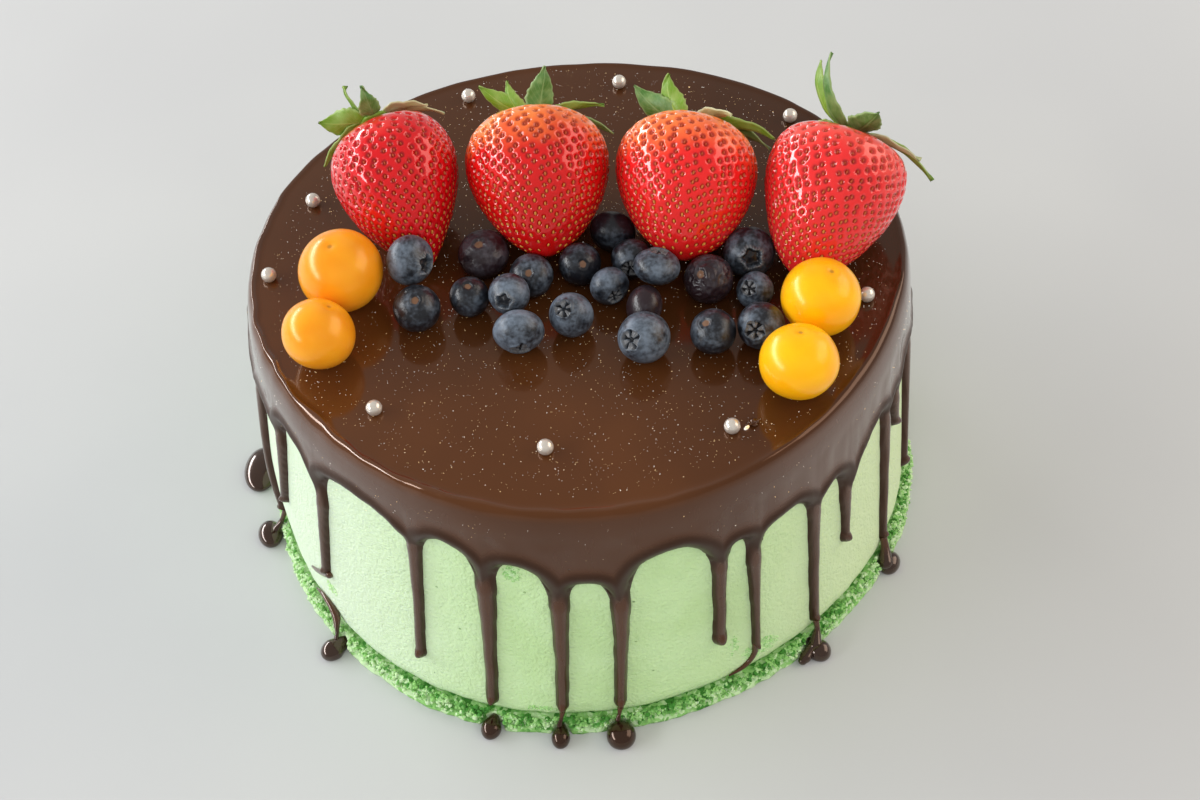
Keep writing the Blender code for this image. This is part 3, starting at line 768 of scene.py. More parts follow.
@dataclass(frozen=True)
class Crumbs:
    """Torn frosting: rough and granular, dark between the grains and paler on them, with painted light
    towards the left and right and painted shade high on the border, under the side.
    """

    name: str
    pale: Colour
    mid: Colour
    deep: Colour
    shade_above: float

    def material(self) -> Material:
        """The finish of the border or of the torn patches.

        Returns:
            The material.
        """
        paint = Paint(self.name)
        tone = paint.cell_values(1.5) * 0.6 + paint.mottle(3.4, 3) * 0.7
        # Painted shade: darker above shade_above, high on the border under the side. Painted light: paler
        # towards the left and the right.
        shaded = paint.height().step(self.shade_above - 0.0016, self.shade_above + 0.0012)
        lit = paint.along(0).step(-0.03, -0.09) * 0.28 + paint.along(0).step(0.03, 0.09) * 0.13
        tone = tone + lit - shaded * 0.26
        base = paint.mix(tone.step(0.28, 0.56), self.deep, self.mid)
        base = paint.mix(tone.step(0.58, 0.84), base, self.pale)
        return paint.finish({
            "Base Color": base, "Roughness": 0.75, "Specular IOR Level": 0.3,
            "Subsurface Weight": 0.15, "Subsurface Radius": (0.8, 1.0, 0.4),
            "Subsurface Scale": 0.0015, "Normal": paint.bump(paint.mottle(0.9, 5), 0.4),
        })


@dataclass(frozen=True)
class Chocolate:
    """Dark chocolate glaze: a warm mirror on top, satin down the side, with a few pits. Painted shade
    darkens the side, the top towards the right and the back, the curtain's lip and the drops at the foot,
    and a painted sheen lightens the side's flanks.
    """

    base: Colour = (0.078, 0.026, 0.0075)
    warm: Colour = (0.102, 0.034, 0.0095)
    # The lip colour is the near-black of painted shade.
    lip: Colour = (0.020, 0.007, 0.003)
    # The drop colour is painted shade on the drops at the foot.
    drop: Colour = (0.020, 0.008, 0.004)
    # The sheen colour is a painted highlight.
    painted_sheen: Colour = (0.20, 0.14, 0.12)
    tint: Colour = (1.0, 0.60, 0.42)
    top_roughness: float = 0.12
    side_roughness: float = 0.25

    def material(self) -> Material:
        """The finish of the glaze, the drips and the drops.

        Returns:
            The material.
        """
        paint = Paint("chocolate glaze")
        height = paint.height()
        side = height.step(0.0935, 0.0905)
        colour = paint.mix(paint.mottle(30, 2).step(0.4, 0.7) * 0.5, self.base, self.warm)
        lip = paint.attribute("lip")
        across = paint.along(0)
        left = across.step(-0.02, -0.08)
        flanks = left * 0.7 + across.step(0.02, 0.075)
        ridge = height.step(0.09395, 0.0942)
        shaded = across.step(0.0, 0.09) * 0.62 + paint.along(1).step(-0.03, 0.05) * 0.35
        # Painted shade: the side, and the top towards the right and the back, are darkened towards the lip
        # colour.
        colour = paint.mix(side * 0.42 + (shaded * (1 - side)).least(0.7), colour, self.lip)
        # Painted highlight: a lilac-grey sheen on the side's left and right flanks, above the foot.
        colour = paint.mix(side * flanks * height.step(0.045, 0.06) * 0.24, colour, self.painted_sheen)
        # Painted shade: a dark band along the curtain's lip.
        colour = paint.mix(lip * side, colour, self.lip)
        # Painted shade: the drops at the foot are darkened.
        low = height.step(0.0085, 0.0055)
        colour = paint.mix(low, colour, self.drop)
        streaks = paint.mottle(3.2, 3, paint.place((1, 1, 0.22)))
        pits = paint.cells(6.5).step(0.09, 0.04) * paint.cell_values(6.5).step(0.84, 0.87) * side
        rough = self.top_roughness + side * (self.side_roughness - self.top_roughness)
        rough = rough + side * (streaks - 0.5) * 0.16 + lip * side * 0.12 - low * 0.08
        waves = paint.bump(paint.mottle(38, 1), 0.25)
        relief = streaks * side * 0.7 - pits * 1.0
        gloss = (0.20 + left * 0.2 + side * (0.2 + flanks * 0.6) + ridge * 0.6).least(1.0)
        return paint.finish({
            "Base Color": colour, "Roughness": rough, "IOR": 1.5, "Specular Tint": self.tint,
            "Coat Weight": gloss * (1 - lip * side * 0.95), "Coat Roughness": 0.07,
            "Normal": paint.bump(relief, 0.14, waves),
        })


@dataclass(frozen=True)
class Pearl:
    """Sugar pearl: a silvery nacre shell with a warm tint."""

    base: Colour = (0.74, 0.66, 0.56)

    def material(self) -> Material:
        """The finish of the pearls.

        Returns:
            The material.
        """
        paint = Paint("sugar pearl")
        tint = paint.mix(paint.mottle(1.6, 2), self.base, (0.84, 0.80, 0.74))
        return paint.finish({
            "Base Color": tint, "Metallic": 0.55, "Roughness": 0.26, "Coat Weight": 0.4,
            "Coat Roughness": 0.08, "Normal": paint.bump(paint.mottle(0.7, 2), 0.03),
        })


@dataclass(frozen=True)
class Sparkle:
    """Edible glitter: tiny flakes of gold and white, with a painted glow for glints."""

    gold: Colour = (0.95, 0.68, 0.34)
    white: Colour = (0.95, 0.92, 0.86)

    def material(self) -> Material:
        """The finish of the flakes.

        Returns:
            The material.
        """
        paint = Paint("glitter")
        tint = paint.mix(paint.mottle(3, 1).step(0.45, 0.55), self.gold, self.white)
        # Painted glints: the flakes glow with their own colour, though they are no lamps.
        return paint.finish({
            "Base Color": tint, "Metallic": 0.4, "Roughness": 0.3, "Emission Color": tint,
            "Emission Strength": 0.8,
        })


@dataclass(frozen=True)
class StrawberrySkin:
    """Ripe strawberry: glossy red, paler and more orange towards the stalk end, with painted shade towards
    the tip and inside the dimples round its seeds.
    """

    name: str
    ripe: Colour
    shoulder: Colour
    blush: float

    def material(self) -> Material:
        """The finish of one strawberry's flesh.

        Returns:
            The material.
        """
        paint = Paint(self.name)
        along = paint.attribute("along")
        drift = (paint.mottle(14, 2) - 0.5) * 0.5
        colour = paint.mix((along + drift).step(self.blush, 0.0), self.ripe, self.shoulder)
        dimple = paint.attribute("dimple")
        # Painted shade: the tip colour darkens the flesh towards the tip, and the deep colour darkens it
        # inside the dimples.
        deep = tuple(channel * 0.42 for channel in self.ripe)
        tip = tuple(channel * 0.6 for channel in self.ripe)
        colour = paint.mix(along.step(0.50, 1.0) * 0.45, colour, tip)
        colour = paint.mix(dimple.step(0.0, 0.7) * (0.28 + along.step(0.02, 0.3) * 0.46), colour, deep)
        return paint.finish({
            "Base Color": colour, "Roughness": 0.16 + paint.mottle(6, 2) * 0.10,
            "Specular Tint": (1.0, 0.18, 0.18), "Subsurface Weight": 0.12,
            "Subsurface Radius": (1.0, 0.2, 0.1),
            "Subsurface Scale": 0.0015, "Coat Weight": 0.95, "Coat Roughness": 0.04,
            "Normal": paint.bump(paint.mottle(0.9, 3), 0.03),
        })


@dataclass(frozen=True)
class SeedSkin:
    """Strawberry seeds: straw yellow near the tip, browner near the stalk end."""

    near: Colour = (0.50, 0.075, 0.018)
    tip: Colour = (0.68, 0.31, 0.042)

    def material(self) -> Material:
        """The finish of the seeds.

        Returns:
            The material.
        """
        paint = Paint("strawberry seed")
        along = paint.attribute("along")
        colour = paint.mix((along + (paint.mottle(3, 1) - 0.5) * 0.6).step(0.35, 1.1), self.near, self.tip)
        return paint.finish({"Base Color": colour, "Roughness": 0.35})


@dataclass(frozen=True)
class Leaf:
    """A sepal: veined, with a paler edge."""

    name: str
    face: Colour
    vein: Colour
    edge: Colour

    def material(self) -> Material:
        """The finish of the sepals of one tone.

        Returns:
            The material.
        """
        paint = Paint(self.name)
        across = paint.attribute("across")
        along = paint.attribute("along")
        ribs = paint.node("ShaderNodeMath", {"operation": "SINE"}, {0: (along * 9.0 - across * 3.0) * 6.28})
        veins = across.step(0.10, 0.02).most(ribs.step(0.86, 1.0) * 0.5)
        colour = paint.mix(paint.mottle(4, 3).step(0.35, 0.7) * 0.5, self.face, self.edge)
        colour = paint.mix(veins * 0.7, colour, self.vein)
        colour = paint.mix(across.step(0.78, 1.0) * 0.85, colour, self.edge)
        return paint.finish({
            "Base Color": colour, "Roughness": 0.42, "Specular IOR Level": 0.4,
            "Normal": paint.bump(veins * -0.8 + paint.mottle(0.9, 3) * 0.4, 0.12),
        })


@dataclass(frozen=True)
class BlueberrySkin:
    """Blueberry: a near-black blue under a grey bloom that is rubbed off in places, with painted shade low
    down near the glaze and in the hollows of its end.
    """

    name: str
    skin: Colour
    bloom: Colour
    mark: Colour
    cover: float

    def material(self) -> Material:
        """The finish of one blueberry.

        Returns:
            The material.
        """
        paint = Paint(self.name)
        rubbed = paint.mottle(5.5, 4) * 0.6 + paint.mottle(1.2, 4) * 0.4
        dust = rubbed.step(0.55 - self.cover * 0.25, 0.78 - self.cover * 0.12)
        end = paint.attribute("end")
        colour = paint.mix(dust * (0.25 + 0.75 * self.cover), self.skin, self.bloom)
        # Painted shade: low on the berry, near the glaze, the bloom gives way to the dark bare skin.
        colour = paint.mix(paint.height().step(0.1015, 0.0945) * 0.75, colour, self.skin)
        colour = paint.mix(end.step(0.1, 1.0), colour, self.mark)
        # Painted shade: the hollows of the crown and round the scar are painted near black.
        dark = paint.attribute("hollow")
        colour = paint.mix(dark.step(0.2, 1.0) * 0.9, colour, (0.010, 0.008, 0.009))
        return paint.finish({
            "Base Color": colour, "Roughness": 0.30 + dust * 0.16,
            "Normal": paint.bump(paint.mottle(0.7, 4) * 0.6 + rubbed * 0.5, 0.10),
        })


@dataclass(frozen=True)
class PhysalisSkin:
    """Physalis: a smooth waxy orange skin, with a faint painted glow that stands in for light through the
    skin.
    """

    name: str
    ripe: Colour
    light: Colour

    def material(self) -> Material:
        """The finish of one physalis.

        Returns:
            The material.
        """
        paint = Paint(self.name)
        colour = paint.mix(paint.mottle(11, 1).step(0.35, 0.7), self.ripe, self.light)
        end = paint.attribute("end")
        colour = paint.mix(end.step(0.2, 1.0) * 0.7, colour, (0.30, 0.13, 0.02))
        # Painted light: the skin glows faintly with its own colour, standing in for light through it.
        return paint.finish({
            "Base Color": colour, "Roughness": 0.30, "Specular IOR Level": 0.45,
            "Specular Tint": (1.0, 0.76, 0.18), "Subsurface Weight": 0.25,
            "Subsurface Radius": (1.0, 0.45, 0.05), "Subsurface Scale": 0.003, "Coat Weight": 0.45,
            "Coat Roughness": 0.22, "Emission Color": colour, "Emission Strength": 0.10,
            "Normal": paint.bump(paint.mottle(8, 1), 0.08),
        })


BORDER_FINISH = Crumbs("border scraps", (0.58, 0.80, 0.45), (0.28, 0.58, 0.17), (0.06, 0.25, 0.035), 0.0042)
TORN_FINISH = Crumbs("torn scraps", (0.60, 0.88, 0.44), (0.45, 0.77, 0.31), (0.26, 0.58, 0.17), 0.2)
STRAWBERRY_SKINS = (
    StrawberrySkin("strawberry one skin", (0.68, 0.004, 0.008), (0.76, 0.030, 0.022), 0.16),
    StrawberrySkin("strawberry two skin", (0.68, 0.006, 0.006), (1.0, 0.290, 0.055), 0.46),
    StrawberrySkin("strawberry three skin", (0.84, 0.014, 0.014), (1.0, 0.270, 0.060), 0.46),
    StrawberrySkin("strawberry four skin", (0.82, 0.026, 0.026), (0.86, 0.085, 0.060), 0.28),
)
LEAF_FINISHES = {
    Tone.FRESH: Leaf("fresh leaf", (0.15, 0.30, 0.016), (0.33, 0.47, 0.10), (0.34, 0.46, 0.13)),
    Tone.DARK: Leaf("dark leaf", (0.065, 0.18, 0.030), (0.22, 0.36, 0.13), (0.30, 0.42, 0.16)),
    Tone.DRY: Leaf("dry leaf", (0.42, 0.46, 0.21), (0.50, 0.52, 0.28), (0.58, 0.56, 0.34)),
}


def smooth_run(stations: Sequence[Station], steps: int = 6) -> list[Vector]:
    """A smooth curve through the stations of a run.

    Args:
        stations: the bearing, proudness, height and radius of each point that it passes through.
        steps: points on the curve between two stations.

    Returns:
        Points of four numbers: a place in millimetres, and the radius there.
    """
    knots = [
        Vector((*side_point(bearing, height, proud), radius))
        for bearing, proud, height, radius in stations
    ]
    knots = [2 * knots[0] - knots[1], *knots, 2 * knots[-1] - knots[-2]]
    curve = []
    for before, start, end, after in zip(knots, knots[1:], knots[2:], knots[3:]):
        leaving, arriving = (end - before) / 2, (after - start) / 2
        for step in range(steps):
            share = step / steps
            square, cube = share**2, share**3
            point = start * (2 * cube - 3 * square + 1) + end * (3 * square - 2 * cube)
            curve.append(point + leaving * (cube - 2 * square + share) + arriving * (cube - square))
    curve.append(knots[-2])
    return curve


@dataclass
class Drum:
    """The frosted drum: a smooth scraped side whose lower edge is a little torn."""

    columns: int = 400
    rows: int = 64
    undercut: float = 3.4
    undercut_height: float = 4.6
    lip_height: float = 6.6
    top: float = 91.6
    chamfer: float = 1.5
    wander: float = 0.10
    tear: float = 0.9

    def point(self, column: int, row: int) -> Vector:
        """A point of the drum's skin.

        Args:
            column: the step round the drum.
            row: the step up it, from the middle of the base to the middle of the top.

        Returns:
            The point, in millimetres.
        """
        if row == 0:
            return Vector((FOOT_SHIFT_X, FOOT_SHIFT_Y, 0))
        if row == self.rows:
            return Vector((0, 0, self.top))
        bearing = 360 * column / self.columns
        around = side_point(bearing, 0.0)
        tear = self.tear * ripple(around, 7, 3) + 0.5 * self.tear * ripple(around, 2.4, 5)
        lip = self.lip_height + max(tear, -0.9)
        if row == 1:
            return side_point(bearing, 0.0, -self.undercut)
        if row == 2:
            return side_point(bearing, self.undercut_height - 0.3, -self.undercut)
        if row == 3:
            return side_point(bearing, lip - 1.4, -0.9 + 0.2 * tear)
        if row == self.rows - 1:
            return side_point(bearing, self.top, -self.chamfer)
        share = (row - 4) / (self.rows - 6)
        height = blend(lip, self.top - self.chamfer, share)
        spot = side_point(bearing, height)
        wander = self.wander * (ripple(spot, 9, 1) + 0.5 * ripple(spot, 3.5, 2))
        rounding = -0.35 * max(1 - share * (self.rows - 6) / 1.6, 0.0)
        return side_point(bearing, height, wander + rounding)

    def build(self, finish: Material) -> None:
        """Make the drum."""
        skin = bent_grid(self.columns, self.rows, self.point)
        make_piece("frosted_drum", skin, finish, ["frosted_cake"])


@dataclass
class Border:
    """The border of frosting scraps: a ragged ring heaped with grains, parted round the drops."""

    strands: Sequence[Sequence[Vector]]
    columns: int = 900
    rows: int = 10
    reach: float = 3.1
    height: float = 5.2
    ragged: float = 1.0
    tuck: float = 3.0
    grains: int = 5600
    smallest: float = 0.26
    largest: float = 0.70
    seed: int = 31

    def __post_init__(self) -> None:
        """Note the points of the strands of chocolate, which the grains keep clear of."""
        points = [point for strand in self.strands for point in strand]
        self.radii = [point.w for point in points]
        self.strand_points = tree_of([point.xyz for point in points])

    def bulk(self, bearing: float) -> tuple[float, float]:
        """How far out and how high the ring comes.

        Args:
            bearing: the bearing round the cake.

        Returns:
            The reach and the height, in millimetres.
        """
        around = side_point(bearing, 0.0)
        broad = ripple(around, 14, 7)
        fine = ripple(around, 3.6, 8)
        reach = self.reach + self.ragged * (0.55 * broad + 0.6 * fine)
        reach *= 1 - BORDER_THINNING * near(bearing, THIN_BEARING, THIN_SPREAD)
        height = self.height * (1 - 0.10 * near(bearing, 8, 22)) + 0.5 * broad - 0.3
        for drop in FOOT_DROPS:
            outwards = heading(drop.bearing)
            along = Vector((outwards.y, -outwards.x)).dot(around.xy)
            share = abs(along) / (drop.half_length + 0.5)
            if share < 1 and outwards.dot(around) > 0:
                inner = drop.distance - drop.half_width * sqrt(1 - share**2)
                gap = inner - outwards.dot(around) - 0.3
                reach = min(reach, max(gap, 0.6))
        return reach, height

    def point(self, column: int, row: int) -> Vector:
        """A point of the ring's skin.

        Args:
            column: the step round the ring.
            row: the step round its section, from the inner side of its base.

        Returns:
            The point, in millimetres.
        """
        bearing = 360 * column / self.columns
        reach, height = self.bulk(bearing)
        ring = (
            (-self.tuck, 0.0),
            (-self.tuck, 3.4),
            (-1.4, height * 0.90),
            (0.15 * reach, height * 0.93),
            (reach * 0.34, height * 0.96),
            (reach * 0.60, height * 0.80),
            (reach * 0.80, height * 0.52),
            (reach * 0.95, height * 0.24),
            (reach, 0.5),
            (reach * 0.97, 0.0),
        )
        proud, rise = ring[row]
        spot = side_point(bearing, rise, proud)
        if 2 < row < 9:
            rough = 0.55 * ripple(spot, 1.9, 4) + 0.35 * ripple(spot, 3.4, 6)
            spot = side_point(bearing, max(rise + rough, 0.15), proud + 0.5 * ripple(spot, 2.2, 9))
        return spot

    @staticmethod
    def inside(drop: FootDrop, spot: Vector, size: float) -> bool:
        """Whether a grain would touch a drop.

        Args:
            drop: the drop.
            spot: the grain's middle.
            size: its radius.

        Returns:
            True where it would.
        """
        outwards = heading(drop.bearing)
        out = outwards.dot(spot) - drop.distance
        along = Vector((outwards.y, -outwards.x)).dot(spot.xy)
        return hypot(out / (drop.half_width + size), along / (drop.half_length + size)) < 1

    def grain(self, chance: random.Random) -> Optional[Matrix]:
        """One grain lying on the ring.

        Args:
            chance: the source of its place and form.

        Returns:
            Its place and form in metres, or nothing where it would lie in a drop.
        """
        bearing = chance.uniform(-180, 180)
        reach, height = self.bulk(bearing)
        share = chance.random() ** 0.8
        proud = blend(0.3, reach + 0.25, share)
        slope = sqrt(max(1 - (proud / (reach + 0.6)) ** 3, 0.0))
        size = chance.uniform(self.smallest, self.largest) * (1.3 if chance.random() < 0.25 else 1.0)
        centre = side_point(bearing, max(height * slope * 0.96, 0.0) + 0.35 * size, proud)
        turn = tumble(chance)
        half_sizes = [size * chance.uniform(0.7, 1.25) for _ in range(3)]
        centre.z = max(centre.z, size * 0.8)
        _, number, distance = self.strand_points.find(centre)
        if distance < self.radii[number] + size * 0.6:
            return None
        if any(self.inside(drop, centre, size) for drop in FOOT_DROPS):
            return None
        return placed(centre, turn, half_sizes)

    def build(self, finish: Material) -> None:
        """Make the ring and its grains.

        Args:
            finish: the torn frosting's finish.
        """
        chance = random.Random(self.seed)
        ring = bent_grid(self.columns, self.rows, self.point, tube=True)
        grains = Scatter()
        for place in filter(None, (self.grain(chance) for _ in range(self.grains))):
            grains.add(place)
        make_piece("border_ring", ring, finish, ["crumb_border"])
        make_piece("border_grains", grains.finish(), finish)


class TornPatch(NamedTuple):
    """A place where the frosted side is torn: its middle, half sizes and number of grains."""

    bearing: float
    height: float
    half_width: float
    half_height: float
    grains: int


@dataclass
class TornFrosting:
    """Patches on the side where the scraper tore the frosting into grains."""

    smallest: float = 0.25
    largest: float = 0.62
    seed: int = 8

    PATCHES = (
        TornPatch(-13.4, 68.0, 2.8, 3.4, 130),
        TornPatch(29.5, 12.5, 7.0, 4.0, 320),
        TornPatch(24.0, 20.0, 1.8, 4.5, 40),
        TornPatch(-54.0, 19.0, 3.2, 3.0, 60),
        TornPatch(-10.0, 8.4, 5.0, 1.2, 40),
    )

    def grain(self, patch: TornPatch, chance: random.Random) -> Matrix:
        """One grain of a patch.

        Args:
            patch: the patch that it lies in.
            chance: the source of its place and form.

        Returns:
            Its place and form, in metres.
        """
        reach = chance.random() ** 0.7
        turn = chance.uniform(0, 2 * pi)
        bearing = patch.bearing + patch.half_width * reach * cos(turn) / MM_PER_DEGREE
        height = patch.height + patch.half_height * reach * sin(turn)
        size = chance.uniform(self.smallest, self.largest) * (1 - 0.45 * reach)
        centre = side_point(bearing, height, 0.02)
        return placed(centre, tumble(chance), (size * chance.uniform(0.7, 1.6), size, size * 0.8))

    def build(self, finish: Material) -> None:
        """Make the grains of all the patches.

        Args:
            finish: the torn frosting's finish.
        """
        chance = random.Random(self.seed)
        grains = Scatter()
        for patch in self.PATCHES:
            for _ in range(patch.grains):
                grains.add(self.grain(patch, chance))
        make_piece("torn_frosting", grains.finish(), finish)


class Ring(NamedTuple):
    """A ring of the glaze's cap: its outer face, and the face underneath it."""

    proud: float
    height: float
    under_proud: float
    under_height: float


@dataclass
class Glaze:
    """The poured glaze: a flat cap, a round rim, a curtain and its drips, all in one skin."""

    curtain: float = 2.2
    bead: float = 0.8
    bead_reach: float = 4.4
    lip: float = 3.2
    rim_run: float = 2.2
    rim_drop: float = 9.0
    drip: float = 2.5
    arch_squareness: float = 2.6
    flare: float = 0.6
    fillet: float = 6.0
    bulb_stretch: float = 1.6
    fine_step: float = 0.5
    coarse_step: float = 1.6
    fine_reach: float = 4.8
    low_step: float = 0.6
    high_step: float = 0.95
    low_below: float = 40.0
    lowest: float = 5.0
    inside: float = -2.6
    back: float = -3.0
    under: float = 91.7
    under_shift: float = -2.4
    edge_steps: int = 3600
    edge_overlap: int = 60
    rim_steps: int = 14

    def __post_init__(self) -> None:
        """Lay out the drips, the curtain's edge and the grid."""
        self.drips = list(FRONT_DRIPS) + self.back_drips()
        self.edge = self.edge_tree()
        self.bearings = self.spread_columns()
        self.edges = [self.edge_height(bearing) for bearing in self.bearings]
        self.caps = [self.cap_rings(bearing) for bearing in self.bearings]
        self.side_shares = self.spread_rows()
        self.side_rows = len(self.side_shares)

    def back_drips(self) -> list[Drip]:
        """Space and size the drips round the back by a seeded rule, as the solid has them.

        Returns:
            The drips.
        """
        chance = random.Random(BACK_SEED)
        last, first = FRONT_DRIPS[-1].neck_bearing, FRONT_DRIPS[0].neck_bearing + 360
        drips = []
        bearing = last + chance.uniform(*BACK_STEP)
        while bearing < first - BACK_STEP[0]:
            neck = chance.uniform(*BACK_NECK)
            tip = chance.choice(BACK_TIPS) + chance.uniform(-3, 3)
            low = chance.uniform(1.3, 1.7)
            lean = chance.uniform(-1, 1)
            rise, crest = chance.uniform(3, 8), chance.uniform(0.35, 0.65)
            drips.append(Drip(bearing, bearing + lean, neck, tip, low + 0.5, low, low + 0.2, rise, crest))
            bearing += chance.uniform(*BACK_STEP)
        return drips

    def edge_height(self, bearing: float) -> float:
        """The height of the curtain's lower edge: an arch from each drip's neck to the next.

        Args:
            bearing: the bearing round the cake.

        Returns:
            The height, in millimetres.
        """
        start = self.drips[0].neck_bearing
        bearing = start + (bearing - start) % 360
        this = [drip for drip in self.drips if drip.neck_bearing <= bearing][-1]
        later = [drip for drip in self.drips if drip.neck_bearing > bearing]
        following = later[0] if later else self.drips[0]._replace(neck_bearing=start + 360)
        share = (bearing - this.neck_bearing) / (following.neck_bearing - this.neck_bearing)
        skewed = share ** (log(0.5) / log(this.arch_crest))
        arch = 1 - abs(2 * skewed - 1) ** self.arch_squareness
        return blend(this.neck_height, following.neck_height, share) + this.arch_rise * arch

    def edge_tree(self) -> KDTree:
        """Set out the curtain's edge as points of the unrolled side, to measure distances to it.

        Returns:
            The tree that finds the nearest point of it.
        """
        spots = []
        for step in range(-self.edge_overlap, self.edge_steps + self.edge_overlap):
            bearing = 360 * step / self.edge_steps
            wander = 0.35 * noise.noise(Vector((bearing / 2.2, 0.0, 3.0)))
            spots.append(Vector((bearing * MM_PER_DEGREE, self.edge_height(bearing) + wander, 0.0)))
        return tree_of(spots)

    def spread_columns(self) -> list[float]:
        """Space the columns, close together over the drips and wider between them.

        Returns:
            The bearing of each column.
        """
        fine = set()
        for drip in self.drips:
            lean = drip.tip_bearing - drip.neck_bearing
            reach = self.fine_reach / MM_PER_DEGREE
            low = drip.neck_bearing + min(lean, 0.0) - reach
            high = drip.neck_bearing + max(lean, 0.0) + reach
            fine.update(step % 3600 for step in range(round(low * 10), round(high * 10)))
        bearings = []
        bearing = 0.0
        while bearing < 360.0:
            bearings.append(bearing)
            step = self.fine_step if round(bearing * 10) % 3600 in fine else self.coarse_step
            bearing += step / MM_PER_DEGREE
        return bearings

    def spread_rows(self) -> list[float]:
        """Space the rows, closer together low down.

        Returns:
            Each row's share of the way from the rim to the foot.
        """
        top = TOP_HEIGHT - self.rim_drop
        height, heights = top, []
        while height > self.lowest:
            height -= self.low_step if height < self.low_below else self.high_step
            heights.append(height)
        return [(top - height) / (top - heights[-1]) for height in heights]

    def curtain_thickness(self, bearing: float, height: float, edge: float, distance: float) -> float:
        """How proud the curtain stands at a point, falling below 0 past its edge.

        Args:
            bearing: the bearing of the point.
            height: its height.
            edge: the height of the curtain's edge at that bearing.
            distance: how far the point is from the edge.

        Returns:
            The thickness, in millimetres.
        """
        if height < edge:
            return -2.0 * distance
        fade = ease((TOP_HEIGHT - self.rim_drop - height) / 5)
        flow = 1 + fade * 0.20 * noise.noise(Vector((bearing * MM_PER_DEGREE / 6, height / 24, 2.0)))
        bead = fade * self.bead * exp(-(((distance - self.bead_reach) / 1.8) ** 2))
        inwards = 1 - min(distance / self.lip, 1.0)
        return (self.curtain * flow + bead) * (1 - inwards**2.4) ** 0.62

    @staticmethod
    def round_off(reach: float) -> float:
        """A rounded profile: 1 in the middle, 0 at a reach of 1 and falling further beyond it."""
        return (1 - reach**2.2) ** 0.7 if reach < 1 else 1.4 * (1 - reach)

    @staticmethod
    def round_tip(reach: float) -> float:
        """A domed profile, which falls off sooner than round_off does."""
        return 1 - reach**2 if reach < 1 else 1.4 * (1 - reach)

    def drip_thickness(self, drip: Drip, bearing: float, height: float) -> float:
        """How proud one drip stands at a point, falling below 0 beside it.

        Args:
            drip: the drip.
            bearing: the bearing of the point.
            height: its height.

        Returns:
            The thickness, in millimetres.
        """
        run = drip.neck_height - drip.tip_height
        share = min(max((drip.neck_height - height) / run, 0.0), 1.0)
        lean = drip.tip_bearing - drip.neck_bearing
        wobble = 0.22 * noise.noise(Vector((drip.neck_bearing, height / 9, 0.0))) * ease(share * 4)
        middle = lean * share**drip.hook * MM_PER_DEGREE + wobble
        across = apart(bearing, drip.neck_bearing) * MM_PER_DEGREE - middle
        tall = drip.bulb * self.bulb_stretch
        bulb_height = drip.tip_height + tall
        if height > drip.neck_height:
            above = ease((height - drip.neck_height) / 9)
            half = drip.half_neck + self.flare * exp(-0.4) * (1 - above)
            proud = self.drip * (1.02 - 0.5 * above)
        else:
            swelling = 1 + 0.07 * noise.noise(Vector((drip.neck_bearing * 3, height / 6, 5.0)))
            half = blend(drip.half_neck, drip.half_low, ease(share * 1.6)) * swelling
            half += self.flare * exp(-(drip.neck_height + 1.0 - height) / 2.5)
            proud = self.drip * blend(1.02, 0.80, share)
        body = proud * self.round_off(abs(across) / half)
        if height < bulb_height:
            from_end = hypot(across / half, (bulb_height - height) / tall)
            body = min(body, proud * self.round_tip(from_end))
        from_bulb = hypot(across / drip.bulb, (height - bulb_height) / tall)
        bulb = self.drip * (0.84 + 0.18 * drip.bulb) * self.round_tip(from_bulb)
        return soft_max(body, bulb, 0.4)

    def thickness(self, bearing: float, height: float, edge: float) -> tuple[float, float]:
        """How proud the glaze stands on the side at a point, and how near the curtain's lip is.

        Args:
            bearing: the bearing of the point.
            height: its height.
            edge: the height of the curtain's edge at that bearing.

        Returns:
            The thickness in millimetres, below 0 where there is none, and the nearness from 0 to 1.
        """
        _, _, distance = self.edge.find(Vector((bearing * MM_PER_DEGREE, height, 0.0)))
        curtain = self.curtain_thickness(bearing, height, edge, distance)
        run = -99.0
        close_by = (self.fine_reach + 6) / MM_PER_DEGREE
        for drip in self.drips:
            lean = abs(drip.tip_bearing - drip.neck_bearing)
            if abs(apart(bearing, drip.neck_bearing)) < close_by + lean:
                run = max(run, self.drip_thickness(drip, bearing, height))
        bare = ease((0.7 - max(curtain, run)) / 1.1)
        proud = soft_max(curtain, run, blend(1.4, self.fillet, bare))
        past = 1 - ease((distance - 5.2) / 2.0)
        thin = 1 - ease((run / self.drip - 0.45) / 0.4)
        lip = blend(past, thin, ease((run - curtain + 0.5) / 1.0))
        return max(proud, self.inside), lip

